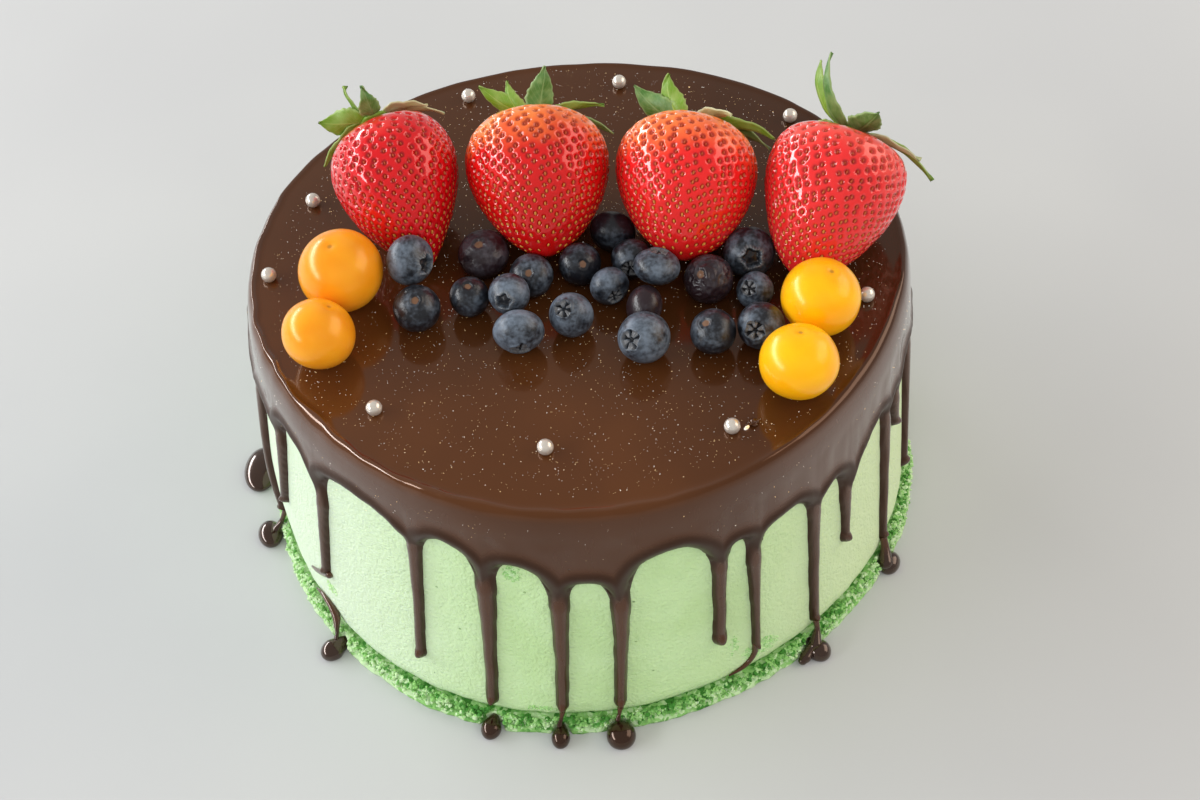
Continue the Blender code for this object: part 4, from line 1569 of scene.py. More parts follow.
    def cap_rings(self, bearing: float) -> list[Ring]:
        """The rings of the cap and the rim, where the rim swells into an uneven ridge.

        Args:
            bearing: the bearing round the cake.

        Returns:
            The rings, from the middle outwards.
        """
        around = heading(bearing) * 60
        left = near(bearing, -60, 55)
        run = self.rim_run + 0.55 * ripple(around, 13, 11) + blend(0.3, 0.95, left) * ripple(around, 5, 14)
        run += 1.3 * near(bearing, 62, 16) + 0.6 * near(bearing, -58, 12)
        ridge = 0.20 + 0.40 * left + 0.14 * ripple(around, 6, 12)
        lip = self.curtain - run
        flat = [-SIDE_RADIUS_AT_TOP * share for share in (0.85, 0.6, 0.36)]
        flat += [lip - 12, lip - 7, lip - 4.4, lip - 2.8, lip - 1.7, lip - 1.0, lip - 0.5]
        rises = [0.0] * 6 + [-0.06, -0.02, ridge * 0.4, ridge * 0.85]
        rings = [
            Ring(proud, TOP_HEIGHT + rise, proud + self.under_shift, self.under)
            for proud, rise in zip(flat, rises)
        ]
        for step in range(self.rim_steps):
            turn = radians(90 * step / self.rim_steps)
            fade = 1 - step / self.rim_steps
            proud = self.curtain - run * (1 - sin(turn))
            height = TOP_HEIGHT - self.rim_drop * (1 - cos(turn)) + ridge * fade**4
            under_proud = blend(lip + self.under_shift + 0.3, self.back, 1 - fade)
            rings.append(Ring(proud, height, under_proud, self.under - 7.2 * (1 - fade)))
        return rings

    def point(self, column: int, row: int, outer: bool) -> tuple[Vector, float, float]:
        """A point of the glaze.

        Args:
            column: the step round the cake.
            row: the step from the middle of the top to the foot.
            outer: True for the outer face, and False for the face against the frosting.

        Returns:
            The point in metres, the thickness there, and how near it is to the curtain's lip.
        """
        if row == 0:
            return Vector((0, 0, TOP_HEIGHT if outer else self.under)) * MM, self.curtain, 0.0
        bearing = self.bearings[column]
        cap = self.caps[column]
        if row <= len(cap):
            ring = cap[row - 1]
            if outer:
                return side_point(bearing, ring.height, ring.proud) * MM, self.curtain, 0.0
            return side_point(bearing, ring.under_height, ring.under_proud) * MM, self.curtain, 0.0
        share = self.side_shares[row - len(cap) - 1]
        height = blend(cap[-1].height, self.lowest, share)
        if not outer:
            height = blend(cap[-1].under_height, self.lowest, share)
            return side_point(bearing, height, self.back) * MM, 0.0, 0.0
        proud, lip = self.thickness(bearing, height, self.edges[column])
        return side_point(bearing, height, proud) * MM, proud, lip

    def build(self, finish: Material) -> None:
        """Make the glaze: the face against the frosting, pulled out where there is glaze.

        Args:
            finish: the glaze's finish.
        """
        rows = len(self.caps[0]) + self.side_rows
        columns = len(self.bearings)
        skin = bmesh.new()
        number_of = skin.verts.layers.int.new("number")
        lip_of = skin.verts.layers.float.new("lip")
        outer = {}
        for vert, column, row in grid_steps(skin, columns, rows):
            vert[number_of] = row * columns + column
            if vert[number_of] not in outer:
                outer[vert[number_of]] = self.point(column, row, True)
            vert.co = self.point(column, row, False)[0]
        bmesh.ops.remove_doubles(skin, verts=skin.verts, dist=MERGE)
        bare = [face for face in skin.faces if all(outer[vert[number_of]][1] <= 0 for vert in face.verts)]
        bmesh.ops.delete(skin, geom=bare, context="FACES")
        pulled = bmesh.ops.extrude_face_region(skin, geom=skin.faces[:], use_keep_orig=True)
        for vert in (part for part in pulled["geom"] if isinstance(part, Vert)):
            vert.co, _, vert[lip_of] = outer[vert[number_of]]
        bmesh.ops.recalc_face_normals(skin, faces=skin.faces)
        skin.verts.layers.int.remove(number_of)
        make_piece("glaze", skin, finish, ["chocolate_glaze"])


@dataclass
class Pearls:
    """The sugar pearls on the glaze."""

    radius: float = 2.3
    sunk: float = 0.5
    around: int = 28
    rows: int = 18

    def build(self, finish: Material) -> None:
        """Make all the pearls as one piece, since their solid is the glaze's.

        Args:
            finish: the pearls' finish.
        """
        balls = bmesh.new()
        for x, y in PEARLS:
            place = Matrix.Translation(Vector((x, y, TOP_HEIGHT + self.radius - self.sunk)) * MM)
            counts = {"u_segments": self.around, "v_segments": self.rows}
            bmesh.ops.create_uvsphere(balls, radius=self.radius * MM, matrix=place, **counts)
        make_piece("sugar_pearls", balls, finish, ["chocolate_glaze"])


@dataclass
class ChocolateRun:
    """A run of chocolate: a tube through its curve, squashed where it is thick."""

    curve: Sequence[Vector]
    columns: int = 22

    TURNS = (90, 72, 54, 36, 18)

    def __post_init__(self) -> None:
        """Round off both ends of the curve."""
        curve = self.curve
        start = (curve[0].xyz - curve[1].xyz).normalized()
        end = (curve[-1].xyz - curve[-2].xyz).normalized()
        self.rings = [self.cap(curve[0], start, turn) for turn in self.TURNS]
        self.rings += list(curve)
        self.rings += [self.cap(curve[-1], end, turn) for turn in reversed(self.TURNS)]

    def cap(self, point: Vector, outwards: Vector, turn: float) -> Vector:
        """A ring of a round end.

        Args:
            point: the end of the curve, with its radius.
            outwards: the way that the end faces.
            turn: the turn in degrees from the end's ring to its pole.

        Returns:
            The ring's centre and radius.
        """
        turn = radians(turn)
        centre = point.xyz + outwards * (point.w * sin(turn))
        return Vector((*centre, point.w * cos(turn)))

    def point(self, column: int, row: int) -> Vector:
        """A point of the run's skin.

        Args:
            column: the step round the tube.
            row: the step along it.

        Returns:
            The point, in millimetres.
        """
        ring = self.rings[row]
        ahead = self.rings[min(row + 1, len(self.rings) - 1)].xyz - self.rings[max(row - 1, 0)].xyz
        side = ahead.cross(Vector((0, 0, 1))).normalized()
        rise = side.cross(ahead.normalized())
        turn = 2 * pi * column / self.columns
        squash = blend(1.0, 0.78, ease((ring.w - 1) / 2))
        spot = ring.xyz + (side * cos(turn) + rise * (squash * sin(turn))) * ring.w
        spot.z = max(spot.z, 0.05)
        return spot

    def skin(self) -> Skin:
        """The closed skin of the run, in metres."""
        return bent_grid(self.columns, len(self.rings) - 1, self.point)


@dataclass
class Droplet:
    """A drop of chocolate that set at the foot: a glossy dome, drawn out towards the cake."""

    drop: FootDrop
    columns: int = 40
    belly: float = 0.28

    RISES = (0.0, 0.06, 0.14, 0.24, 0.36, 0.50, 0.64, 0.76, 0.86, 0.935, 0.98)

    def point(self, column: int, row: int) -> Vector:
        """A point of the drop's skin.

        Args:
            column: the step round the drop.
            row: the step from the middle of its flat base to its top.

        Returns:
            The point, in millimetres.
        """
        drop = self.drop
        outwards, along = heading(drop.bearing), heading(drop.bearing + 90)
        centre = outwards * drop.distance
        if row == 0 or row > len(self.RISES):
            return centre + Vector((0, 0, 0 if row == 0 else drop.height))
        rise = self.RISES[row - 1]
        if rise < self.belly:
            share = blend(0.90, 1.0, sqrt(1 - (1 - rise / self.belly) ** 2))
        else:
            share = sqrt(1 - ((rise - self.belly) / (1 - self.belly)) ** 2)
        turn = 2 * pi * column / self.columns
        inwards = max(cos(turn), 0.0)
        out = -cos(turn) * drop.half_width - drop.point * inwards**3
        aside = sin(turn) * drop.half_length * share * (1 - 0.16 * drop.point * inwards)
        return centre + (outwards * (out * share) + along * aside) + Vector((0, 0, rise * drop.height))

    def skin(self) -> Skin:
        """The closed skin of the drop, in metres."""
        return bent_grid(self.columns, len(self.RISES) + 1, self.point)


class StrayCrumb:
    """A rough crumb on the glaze, with a small piece of gold behind it."""

    PLACE = (45.4, -70.2)
    LUMPS = ((0.0, 0.0, 1.15), (0.9, 0.35, 0.85), (-0.8, -0.1, 0.8), (0.3, -0.6, 0.75))
    TAIL = ((-1.9, -1.5, 0.5), (-1.5, -1.1, 0.42), (-2.3, -1.8, 0.38))

    def gathered(self, lumps: Sequence[tuple[float, float, float]]) -> Skin:
        """Rough lumps in one skin.

        Args:
            lumps: the place of each from the crumb's middle, and its radius.

        Returns:
            The skin, in metres.
        """
        skin = bmesh.new()
        for x, y, radius in lumps:
            spot = Vector((self.PLACE[0] + x, self.PLACE[1] + y, TOP_HEIGHT + 0.7 * radius))
            place = Matrix.Scale(MM, 4) @ Matrix.Translation(spot) @ Matrix.Scale(radius, 4)
            bmesh.ops.create_icosphere(skin, subdivisions=3, radius=1.0, matrix=place)
        for vert in skin.verts:
            vert.co += vert.co.normalized() * (0.28 * MM * ripple(vert.co / MM, 0.9, 21))
        return skin

    def build(self, crumb: Material, gold: Material) -> None:
        """Make the crumb and its tail of gold.

        Args:
            crumb: the crumb's finish.
            gold: the gold's finish.
        """
        make_piece("stray_crumb", self.gathered(self.LUMPS), crumb)
        make_piece("gold_tail", self.gathered(self.TAIL), gold)


@dataclass
class Glitter:
    """Edible glitter strewn over the glaze."""

    on_top: int = 4900
    on_side: int = 380
    reach: float = 92.0
    lowest: float = 76.0
    highest: float = 89.0
    proud: float = 2.2
    smallest: float = 0.06
    largest: float = 0.16
    seed: int = 5

    def flake(self, spot: Vector, chance: random.Random) -> Matrix:
        """One flake.

        Args:
            spot: its place.
            chance: the source of its turn and form.

        Returns:
            Its place and form, in metres.
        """
        size = blend(self.smallest, self.largest, chance.random() ** 3)
        return placed(spot, tumble(chance), (size, size * chance.uniform(0.6, 1.0), size * 0.5))

    def build(self, finish: Material) -> None:
        """Make the flakes as one piece.

        Args:
            finish: the glitter's finish.
        """
        chance = random.Random(self.seed)
        flakes = Scatter()
        for _ in range(self.on_top):
            reach = self.reach * sqrt(chance.random())
            spot = heading(chance.uniform(0, 360)) * reach + Vector((0, 0, TOP_HEIGHT + 0.02))
            flakes.add(self.flake(spot, chance))
        for _ in range(self.on_side):
            bearing, height = chance.uniform(-180, 180), chance.uniform(self.lowest, self.highest)
            flakes.add(self.flake(side_point(bearing, height, self.proud), chance))
        make_piece("glitter", flakes.finish(), finish)


@dataclass
class StrawberryForm:
    """The shape of one strawberry: an axis that bends a little, and a radius along it."""

    values: Strawberry
    steps: int = 24

    def __post_init__(self) -> None:
        """Lay the fruit on the glaze."""
        values = self.values
        self.axis = heading(values.bearing, -values.dip)
        self.side = heading(values.bearing + 90)
        self.top = self.side.cross(self.axis)
        if self.top.z < 0:
            self.top.negate()
        self.head = Vector((values.x, values.y, 0))
        turns = [2 * pi * step / self.steps for step in range(self.steps)]
        shares = [(1 - cos(pi * step / self.steps)) / 2 for step in range(self.steps + 1)]
        lowest = min(self.point(turn, share).z for turn in turns for share in shares)
        self.head.z = TOP_HEIGHT + CLEARANCE - lowest

    def radius_at(self, share: float) -> float:
        """The radius at a share of the length, from the stalk end to the tip.

        Args:
            share: the share of the length.

        Returns:
            The radius, in millimetres.
        """
        form = self.values
        widest = form.shoulder / (form.shoulder + form.taper)
        closing = ((1 - share) / (1 - widest)) ** form.taper
        return form.radius * (share / widest) ** form.shoulder * closing

    def centre(self, share: float) -> Vector:
        """The point of the bent axis at a share of the length."""
        bend = self.side * self.values.bend_aside + self.top * self.values.bend_up
        return self.head + self.axis * (share * self.values.length) + bend * share**2

    def outwards(self, turn: float) -> Vector:
        """The unit vector across the axis at a turn, in radians."""
        return self.side * cos(turn) + self.top * sin(turn)

    def point(self, turn: float, share: float) -> Vector:
        """The point of the plain skin at a turn and a share of the length."""
        radius = self.radius_at(share) if 0 < share < 1 else 0.0
        return self.centre(share) + self.outwards(turn) * radius

    def normal(self, turn: float, share: float) -> Vector:
        """The unit vector out of the plain skin.

        Args:
            turn: the turn round the axis, in radians.
            share: the share of the length.

        Returns:
            The vector.
        """
        step = 0.004
        low, high = max(share - step, 0.0), min(share + step, 1.0)
        along = self.point(turn, high) - self.point(turn, low)
        around = self.outwards(turn + pi / 2)
        return around.cross(along).normalized()


class SeedSpot(NamedTuple):
    """Where a seed sits: its middle, the way out of the skin, the way to the tip, its size."""

    centre: Vector
    out: Vector
    along: Vector
    share: float
    spacing: float


@dataclass
class StrawberryFlesh:
    """A strawberry's flesh, dimpled round each seed, and its seeds."""

    number: int
    values: Strawberry
    columns: int = 320
    rows: int = 170
    near_area: float = 10.0
    tip_area: float = 4.6
    strips: int = 400
    spot_seed: int = 40
    grain_seed: int = 70
    first_seed: float = 0.035
    seeded: float = 0.955
    near_depth: float = 0.80
    tip_depth: float = 0.60
    dimple: float = 0.36
    seed_length: float = 0.58
    seed_width: float = 0.31
    lumps: float = 0.45

    def __post_init__(self) -> None:
        """Lay out the form and the seeds."""
        self.form = StrawberryForm(self.values)
        self.seeds = self.set_out()
        self.tree = tree_of([seed.centre for seed in self.seeds])

    def set_out(self) -> list[SeedSpot]:
        """The seeds in a spiral whose turns draw closer towards the tip.

        Returns:
            The spots of the seeds.
        """
        chance = random.Random(self.spot_seed + self.number)
        spots = []
        owed, count = 0.0, 0
        golden = pi * (3 - sqrt(5))
        for step in range(self.strips):
            share = self.first_seed + self.seeded * (step + 0.5) / self.strips
            area_each = blend(self.near_area, self.tip_area, ease(share * 1.15))
            around = 2 * pi * self.form.radius_at(share)
            strip = around * self.form.values.length * self.seeded / self.strips
            owed += strip * 1.08 / area_each
            while owed > 1:
                owed -= 1
                count += 1
                turn = count * golden + chance.uniform(-0.05, 0.05)
                at = min(share + chance.uniform(-0.004, 0.004), 0.985)
                out = self.form.normal(turn, at)
                along = (self.form.axis - out * self.form.axis.dot(out)).normalized()
                centre = self.form.point(turn, at)
                spots.append(SeedSpot(centre, out, along, at, sqrt(area_each)))
        return spots

    def surface(self, column: int, row: int) -> tuple[Vector, float, float]:
        """A point of the dimpled flesh.

        Args:
            column: the step round the fruit.
            row: the step from the stalk end to the tip.

        Returns:
            The point in millimetres, its share of the length, and how deep in a dimple it is.
        """
        share = (1 - cos(pi * row / self.rows)) / 2
        turn = 2 * pi * column / self.columns
        spot = self.form.point(turn, share)
        if row in (0, self.rows):
            return spot, share, 0.0
        normal = self.form.normal(turn, share)
        _, index, distance = self.tree.find(spot)
        seed = self.seeds[index]
        dimple = max(1 - (distance / (self.dimple * seed.spacing)) ** 2, 0.0) ** 0.7
        depth = blend(self.near_depth, self.tip_depth, ease(share * 1.2))
        ends = ease(share * 14) * ease((1 - share) * 10)
        lumps = ripple(spot, 16, self.number * 3.1) * self.lumps + 0.12 * ripple(spot, 4, self.number)
        return spot + normal * ((lumps - depth * dimple) * ends + 0.12 * ends), share, dimple

    def seed_form(self, seed: SeedSpot, chance: random.Random) -> Matrix:
        """The place and form of one seed.

        Args:
            seed: the seed's spot.
            chance: the source of its small turn and size.

        Returns:
            The matrix, in metres.
        """
        lumps = ripple(seed.centre, 16, self.number * 3.1) * self.lumps
        depth = blend(self.near_depth, self.tip_depth, ease(seed.share * 1.2))
        centre = seed.centre + seed.out * (lumps + 0.12 - depth + blend(0.05, 0.22, seed.share))
        swing = chance.uniform(-0.25, 0.25)
        along = seed.along * cos(swing) + seed.out.cross(seed.along) * sin(swing)
        across = along.cross(seed.out)
        size = chance.uniform(0.85, 1.1) * blend(0.9, 1.15, ease(seed.share * 1.3))
        axes = Matrix((across, along, seed.out)).transposed().to_4x4()
        return placed(centre, axes, (self.seed_width * size, self.seed_length * size, 0.36 * size))

    def build(self, flesh: Material, seed: Material) -> None:
        """Make the flesh and its seeds.

        Args:
            flesh: the flesh's finish.
            seed: the seeds' finish.
        """
        skin = bmesh.new()
        along = skin.verts.layers.float.new("along")
        dimple = skin.verts.layers.float.new("dimple")
        for vert, column, row in grid_steps(skin, self.columns, self.rows):
            spot, vert[along], vert[dimple] = self.surface(column, row)
            vert.co = spot * MM
        close(skin)
        name = f"strawberry_{self.number}"
        chance = random.Random(self.grain_seed + self.number)
        grains = Scatter(8, 5)
        for spot in self.seeds:
            grains.add(self.seed_form(spot, chance))
        seeds = grains.finish()
        share = seeds.verts.layers.float.new("along")
        corners = len(seeds.verts) // len(self.seeds)
        for index, vert in enumerate(seeds.verts):
            vert[share] = self.seeds[index // corners].share
        make_piece(f"{name}_flesh", skin, flesh, [name])
        make_piece(f"{name}_seeds", seeds, seed)


@dataclass
class Calyx:
    """The green crown of one strawberry: a low hub, a cut stalk and thin wavy sepals."""

    number: int
    sepals: Sequence[Sepal]
    hub: float = 4.4
    hub_height: float = 1.6
    stalk: float = 1.1
    stalk_length: float = 3.0
    thickness: float = 0.42
    fold: float = 0.35
    across: int = 10
    along: int = 22
    hub_columns: int = 20
    hub_rows: int = 10
    wave: float = 0.55
    tooth: float = 0.05

    WIDTHS = (0.42, 0.80, 0.98, 1.0, 0.92, 0.76, 0.54, 0.30, 0.0)

    def __post_init__(self) -> None:
        """Find the head of the strawberry."""
        self.form = StrawberryForm(STRAWBERRIES[self.number - 1])

    def width_at(self, share: float) -> float:
        """How wide a sepal is.

        Args:
            share: the place along it, from 0 to 1.

        Returns:
            The width there, as a share of its widest.
        """
        place = min(share, 0.9999) * (len(self.WIDTHS) - 1)
        first = int(place)
        return blend(self.WIDTHS[first], self.WIDTHS[first + 1], place - first)

    def sepal_point(self, sepal: Sepal, number: int, side: float, share: float) -> Vector:
        """A point of a sepal's middle sheet.

        Args:
            sepal: the sepal.
            number: its number, which seeds its waves.
            side: the place across it, from -1 to 1.
            share: the place along it, from 0 at its root to 1.

        Returns:
            The point, in millimetres.
        """
        form = self.form
        turn = radians(sepal.roll)
        out = form.top * cos(turn) + form.side * sin(turn)
        across = form.side * cos(turn) - form.top * sin(turn)
        back = -form.axis
        reach, rise = self.hub * 0.55, 0.9
        steps = max(round(share * 24), 1)
        for step in range(steps):
            at = share * (step + 0.5) / steps
            lift = radians(blend(sepal.root_lift, sepal.tip_lift, at))
            reach += cos(lift) * sepal.length * share / steps
            rise += sin(lift) * sepal.length * share / steps
        lift = radians(blend(sepal.root_lift, sepal.tip_lift, share))
        up = back * cos(lift) - out * sin(lift)
        seed = self.number * 7.3 + number * 2.9
        tooth = 1 + self.tooth * sin(share * 40 + seed) * abs(side)
        spread = sepal.half_width * self.width_at(share) * tooth
        roll = radians(sepal.twist) * share * 2
        flat = across * cos(roll) + up * sin(roll)
        raised = up * cos(roll) - across * sin(roll)
        wave = self.wave * noise.noise(Vector((side * 1.1 + seed, share * 3.2, seed)))
        wave += 0.35 * self.wave * abs(side) * sin(share * 15 + seed * 3 + side)
        fold = abs(side) ** 1.4 * spread * self.fold
        spine = form.head + out * reach + back * rise
        return spine + flat * (side * spread) + raised * (fold + wave * ease(share * 4))

    def hub_point(self, column: int, row: int) -> Vector:
        """A point of the hub and the cut stalk.

        Args:
            column: the step round the hub.
            row: the step from the flesh to the stalk's cut end.

        Returns:
            The point, in millimetres.
        """
        form = self.form
        end = 1.0 + self.hub_height + self.stalk_length
        rings = (
            (self.hub * 0.8, 0.5),
            (self.hub, 1.1),
            (self.hub * 0.9, 1.7),
            (self.hub * 0.62, 0.6 + self.hub_height),
            (self.stalk * 1.5, 0.8 + self.hub_height),
            (self.stalk, 1.5 + self.hub_height),
            (self.stalk * 0.9, 0.5 * end + 1.2),
            (self.stalk * 1.08, end - 0.3),
            (self.stalk * 0.8, end),
        )
        if row == 0 or row > len(rings):
            return form.head - form.axis * (0.5 if row == 0 else end - 0.15)
        radius, rise = rings[row - 1]
        turn = 2 * pi * column / self.hub_columns
        radius *= 1 + 0.06 * cos(5 * turn + self.number)
        return form.head + form.outwards(turn) * radius - form.axis * rise

    def build(self, finishes: dict[Tone, Material]) -> None:
        """Make the calyx as one piece.

        Args:
            finishes: the finish of each tone of leaf.
        """
        tones = list(finishes)
        whole = bent_grid(self.hub_columns, self.hub_rows, self.hub_point)
        across_of = whole.verts.layers.float.new("across")
        along_of = whole.verts.layers.float.new("along")
        for vert in whole.verts:
            vert[across_of] = 0.5
        for number, sepal in enumerate(self.sepals):
            before = set(whole.faces)
            made = bmesh.ops.create_grid(whole, x_segments=self.across, y_segments=self.along, size=0.5)
            for vert in made["verts"]:
                side, share = 2 * vert.co.x, min(max(vert.co.y + 0.5, 0.0), 1.0)
                vert.co = self.sepal_point(sepal, number, side, share) * MM
                vert[across_of], vert[along_of] = abs(side), share
            bmesh.ops.remove_doubles(whole, verts=made["verts"], dist=MERGE)
            leaf = [face for face in whole.faces if face not in before]
            bmesh.ops.solidify(whole, geom=leaf, thickness=self.thickness * MM)
            sheet = [face for face in whole.faces if face not in before]
            bmesh.ops.recalc_face_normals(whole, faces=sheet)
            for face in sheet:
                face.material_index = tones.index(sepal.tone)
        name = f"calyx_{self.number}"
        make_piece(f"{name}_leaves", whole, list(finishes.values()), [name])


@dataclass
class Ball:
    """A fruit that is nearly a ball and rests on the glaze, its pole along a vector."""

    name: str
    fruit: Fruit
    seed: float

    COLUMNS = 80
    ROWS = 60

    def __post_init__(self) -> None:
        """Set the fruit down with its pole the right way."""
        fruit = self.fruit
        pole = heading(fruit.bearing, fruit.elevation)
        below = hypot(fruit.half_width * sqrt(1 - pole.z**2), fruit.half_height * pole.z)
        centre = Vector((fruit.x, fruit.y, TOP_HEIGHT + CLEARANCE + below + fruit.lift))
        self.frame = Matrix.Translation(centre) @ pole.to_track_quat("Z", "Y").to_matrix().to_4x4()

    def shape(self, turn: float, polar: float) -> tuple[Vector, float, float]:
        """A point of the ball in its own frame, with the pole up.

        Args:
            turn: the turn round the pole, in radians.
            polar: the angle from the pole.

        Returns:
            The point in millimetres, and the marks "end" and "hollow" for its finish.
        """
        raise NotImplementedError

    def polar_at(self, row: int) -> float:
        """The angle from the pole of a row, with rows closer together near the pole."""
        share = row / self.ROWS
        return pi * blend(share, share * share, 0.35)

    def build(self, finish: Material, slot: str) -> None:
        """Make the fruit.

        Args:
            finish: its finish.
            slot: not used.
        """
        skin = bmesh.new()
        end = skin.verts.layers.float.new("end")
        hollow = skin.verts.layers.float.new("hollow")
        for vert, column, row in grid_steps(skin, self.COLUMNS, self.ROWS):
            turn = 2 * pi * column / self.COLUMNS if 0 < row < self.ROWS else 0.0
            spot, vert[end], vert[hollow] = self.shape(turn, self.polar_at(row))
            vert.co = (self.frame @ spot) * MM
        close(skin)
        make_piece(f"{self.name}_fruit", skin, finish, [self.name])


@dataclass
class BlueberryBall(Ball):
    """A blueberry, with a star-shaped crown or a round stalk scar at its pole."""

    crown: Crown
    wrinkles: float
    mouth: float = 0.40
    lip: float = 0.11
    depth: float = 0.24
    scar_mouth: float = 0.24
    scar_depth: float = 0.075
    lobes: int = 5

    def star(self, turn: float, across: float) -> tuple[float, float, float]:
        """The form of a crown whose lobes have folded in: a pale disc with dark slits.

        Args:
            turn: the turn round the pole, in radians.
            across: the distance from the axis, as a share of the half width.

        Returns:
            The rise over the plain ball, and the marks for the flesh and for the dark hollow.
        """
        around = Vector((cos(turn), sin(turn), self.seed))
        bent = turn + 0.35 * noise.noise(around * 1.3)
        lobe = 0.5 + 0.5 * cos(self.lobes * bent + self.seed)
        mouth = self.mouth * (1.0 + 0.10 * lobe + 0.22 * noise.noise(around * 1.7))
        disc = 1 - ease((across - mouth * 0.84) / (mouth * 0.28))
        reach = 0.80 + 0.35 * noise.noise(around * 2.1)
        slit = ease((lobe - 0.55) / 0.3) * (1 - ease((across - mouth * reach) / (mouth * 0.16)))
        slit = max(slit, 1 - ease((across - 0.07) / 0.07))
        ray = 0.5 + 0.5 * cos(self.lobes * 4 * bent + self.seed)
        lip = self.lip * 0.7 * exp(-(((across - mouth) / 0.06) ** 2)) * (1 - 0.6 * slit)
        rise = lip - disc * (0.07 + 0.03 * ray) - 0.15 * slit
        return rise, disc * (0.65 + 0.35 * ray) * (1 - slit), slit

    def crater(self, turn: float, across: float) -> tuple[float, float, float]:
        """The form of an open crown: a dark crater with a wavy pale lip.

        Args:
            turn: the turn round the pole, in radians.
            across: the distance from the axis, as a share of the half width.

        Returns:
            The rise over the plain ball, and the marks for the flesh and for the dark hollow.
        """
        lobe = 0.5 + 0.5 * cos(self.lobes * turn + self.seed)
        mouth = self.mouth * (0.86 + 0.22 * lobe)
        lip = self.lip * (0.45 + 0.65 * (1 - lobe)) * exp(-(((across - mouth * 1.08) / 0.07) ** 2))
        inside = 1 - ease((across - mouth * 0.62) / (mouth * 0.42))
        floor = 0.05 * exp(-((across / 0.10) ** 2))
        ray = 0.5 + 0.5 * cos(self.lobes * 5 * turn + self.seed)
        rim = exp(-(((across - mouth * 1.12) / 0.10) ** 2)) * (0.35 + 0.5 * ray)
        dark = 1 - ease((across - mouth * 0.66) / (mouth * 0.28))
        return lip - self.depth * inside + floor - 0.012 * ray * rim, rim * (1 - dark), dark

    def scar(self, turn: float, across: float) -> tuple[float, float, float]:
        """The form of a stalk scar: a shallow dent, brown in the middle.

        Args:
            turn: the turn round the pole, in radians.
            across: the distance from the axis, as a share of the half width.

        Returns:
            The rise over the plain ball, and the marks for the flesh and for the dark hollow.
        """
        mouth = self.scar_mouth * (1 + 0.06 * cos(2 * turn + self.seed) + 0.04 * cos(5 * turn))
        inside = 1 - ease((across - mouth * 0.55) / (mouth * 0.6))
        lip = 0.018 * exp(-(((across - mouth * 1.25) / 0.05) ** 2))
        brown = 1 - ease((across - mouth * 0.50) / (mouth * 0.35))
        ring = exp(-(((across - mouth) / 0.05) ** 2))
        return lip - self.scar_depth * inside, brown, 0.55 * ring

    def shape(self, turn: float, polar: float) -> tuple[Vector, float, float]:
        """A point of the berry in its own frame, and its marks.

        Args:
            turn: the turn round the pole, in radians.
            polar: the angle from the pole.

        Returns:
            The point in millimetres, and the marks "end" and "hollow".
        """
        fruit = self.fruit
        across, up = sin(polar), cos(polar)
        rise, end, hollow = 0.0, 0.0, 0.0
        if up > 0:
            forms = {Crown.STAR: self.star, Crown.CRATER: self.crater, Crown.SCAR: self.scar}
            rise, end, hollow = forms[self.crown](turn, across)
        spot = Vector((across * cos(turn), across * sin(turn), up))
        lumps = 1 + 0.018 * noise.noise(spot * 1.6 + Vector((self.seed, 0, 0)))
        creases = self.wrinkles * abs(noise.noise(spot * 3.2 + Vector((0, self.seed, 0))))
        squash = 1 - 0.035 * max(up, 0.0) ** 4
        reach = (lumps - creases) * squash
        wide, tall = fruit.half_width, fruit.half_height
        place = Vector((spot.x * wide * reach, spot.y * wide * reach, (spot.z * reach + rise) * tall))
        return place, end, hollow


class PhysalisBall(Ball):
    """A husked physalis: smooth, slightly lumpy, with a small scar where its stalk was."""

    COLUMNS = 72
    ROWS = 56

    def shape(self, turn: float, polar: float) -> tuple[Vector, float, float]:
        """A point of the physalis in its own frame, and its marks.

        Args:
            turn: the turn round the pole, in radians.
            polar: the angle from the pole.

        Returns:
            The point in millimetres, and the marks "end" and "hollow".
        """
        fruit = self.fruit
        across, up = sin(polar), cos(polar)
        spot = Vector((across * cos(turn), across * sin(turn), up))
        lumps = 1 - 0.012 + 0.016 * noise.noise(spot * 1.3 + Vector((self.seed, 0, 0)))
        dent = 0.05 * exp(-((across / 0.13) ** 2)) if up > 0 else 0.0
        mark = exp(-((across / 0.075) ** 2)) if up > 0 else 0.0
        rise = (up - dent) * fruit.half_height
        place = Vector((spot.x * fruit.half_width, spot.y * fruit.half_width, rise))
        return place * lumps, mark, 0.0


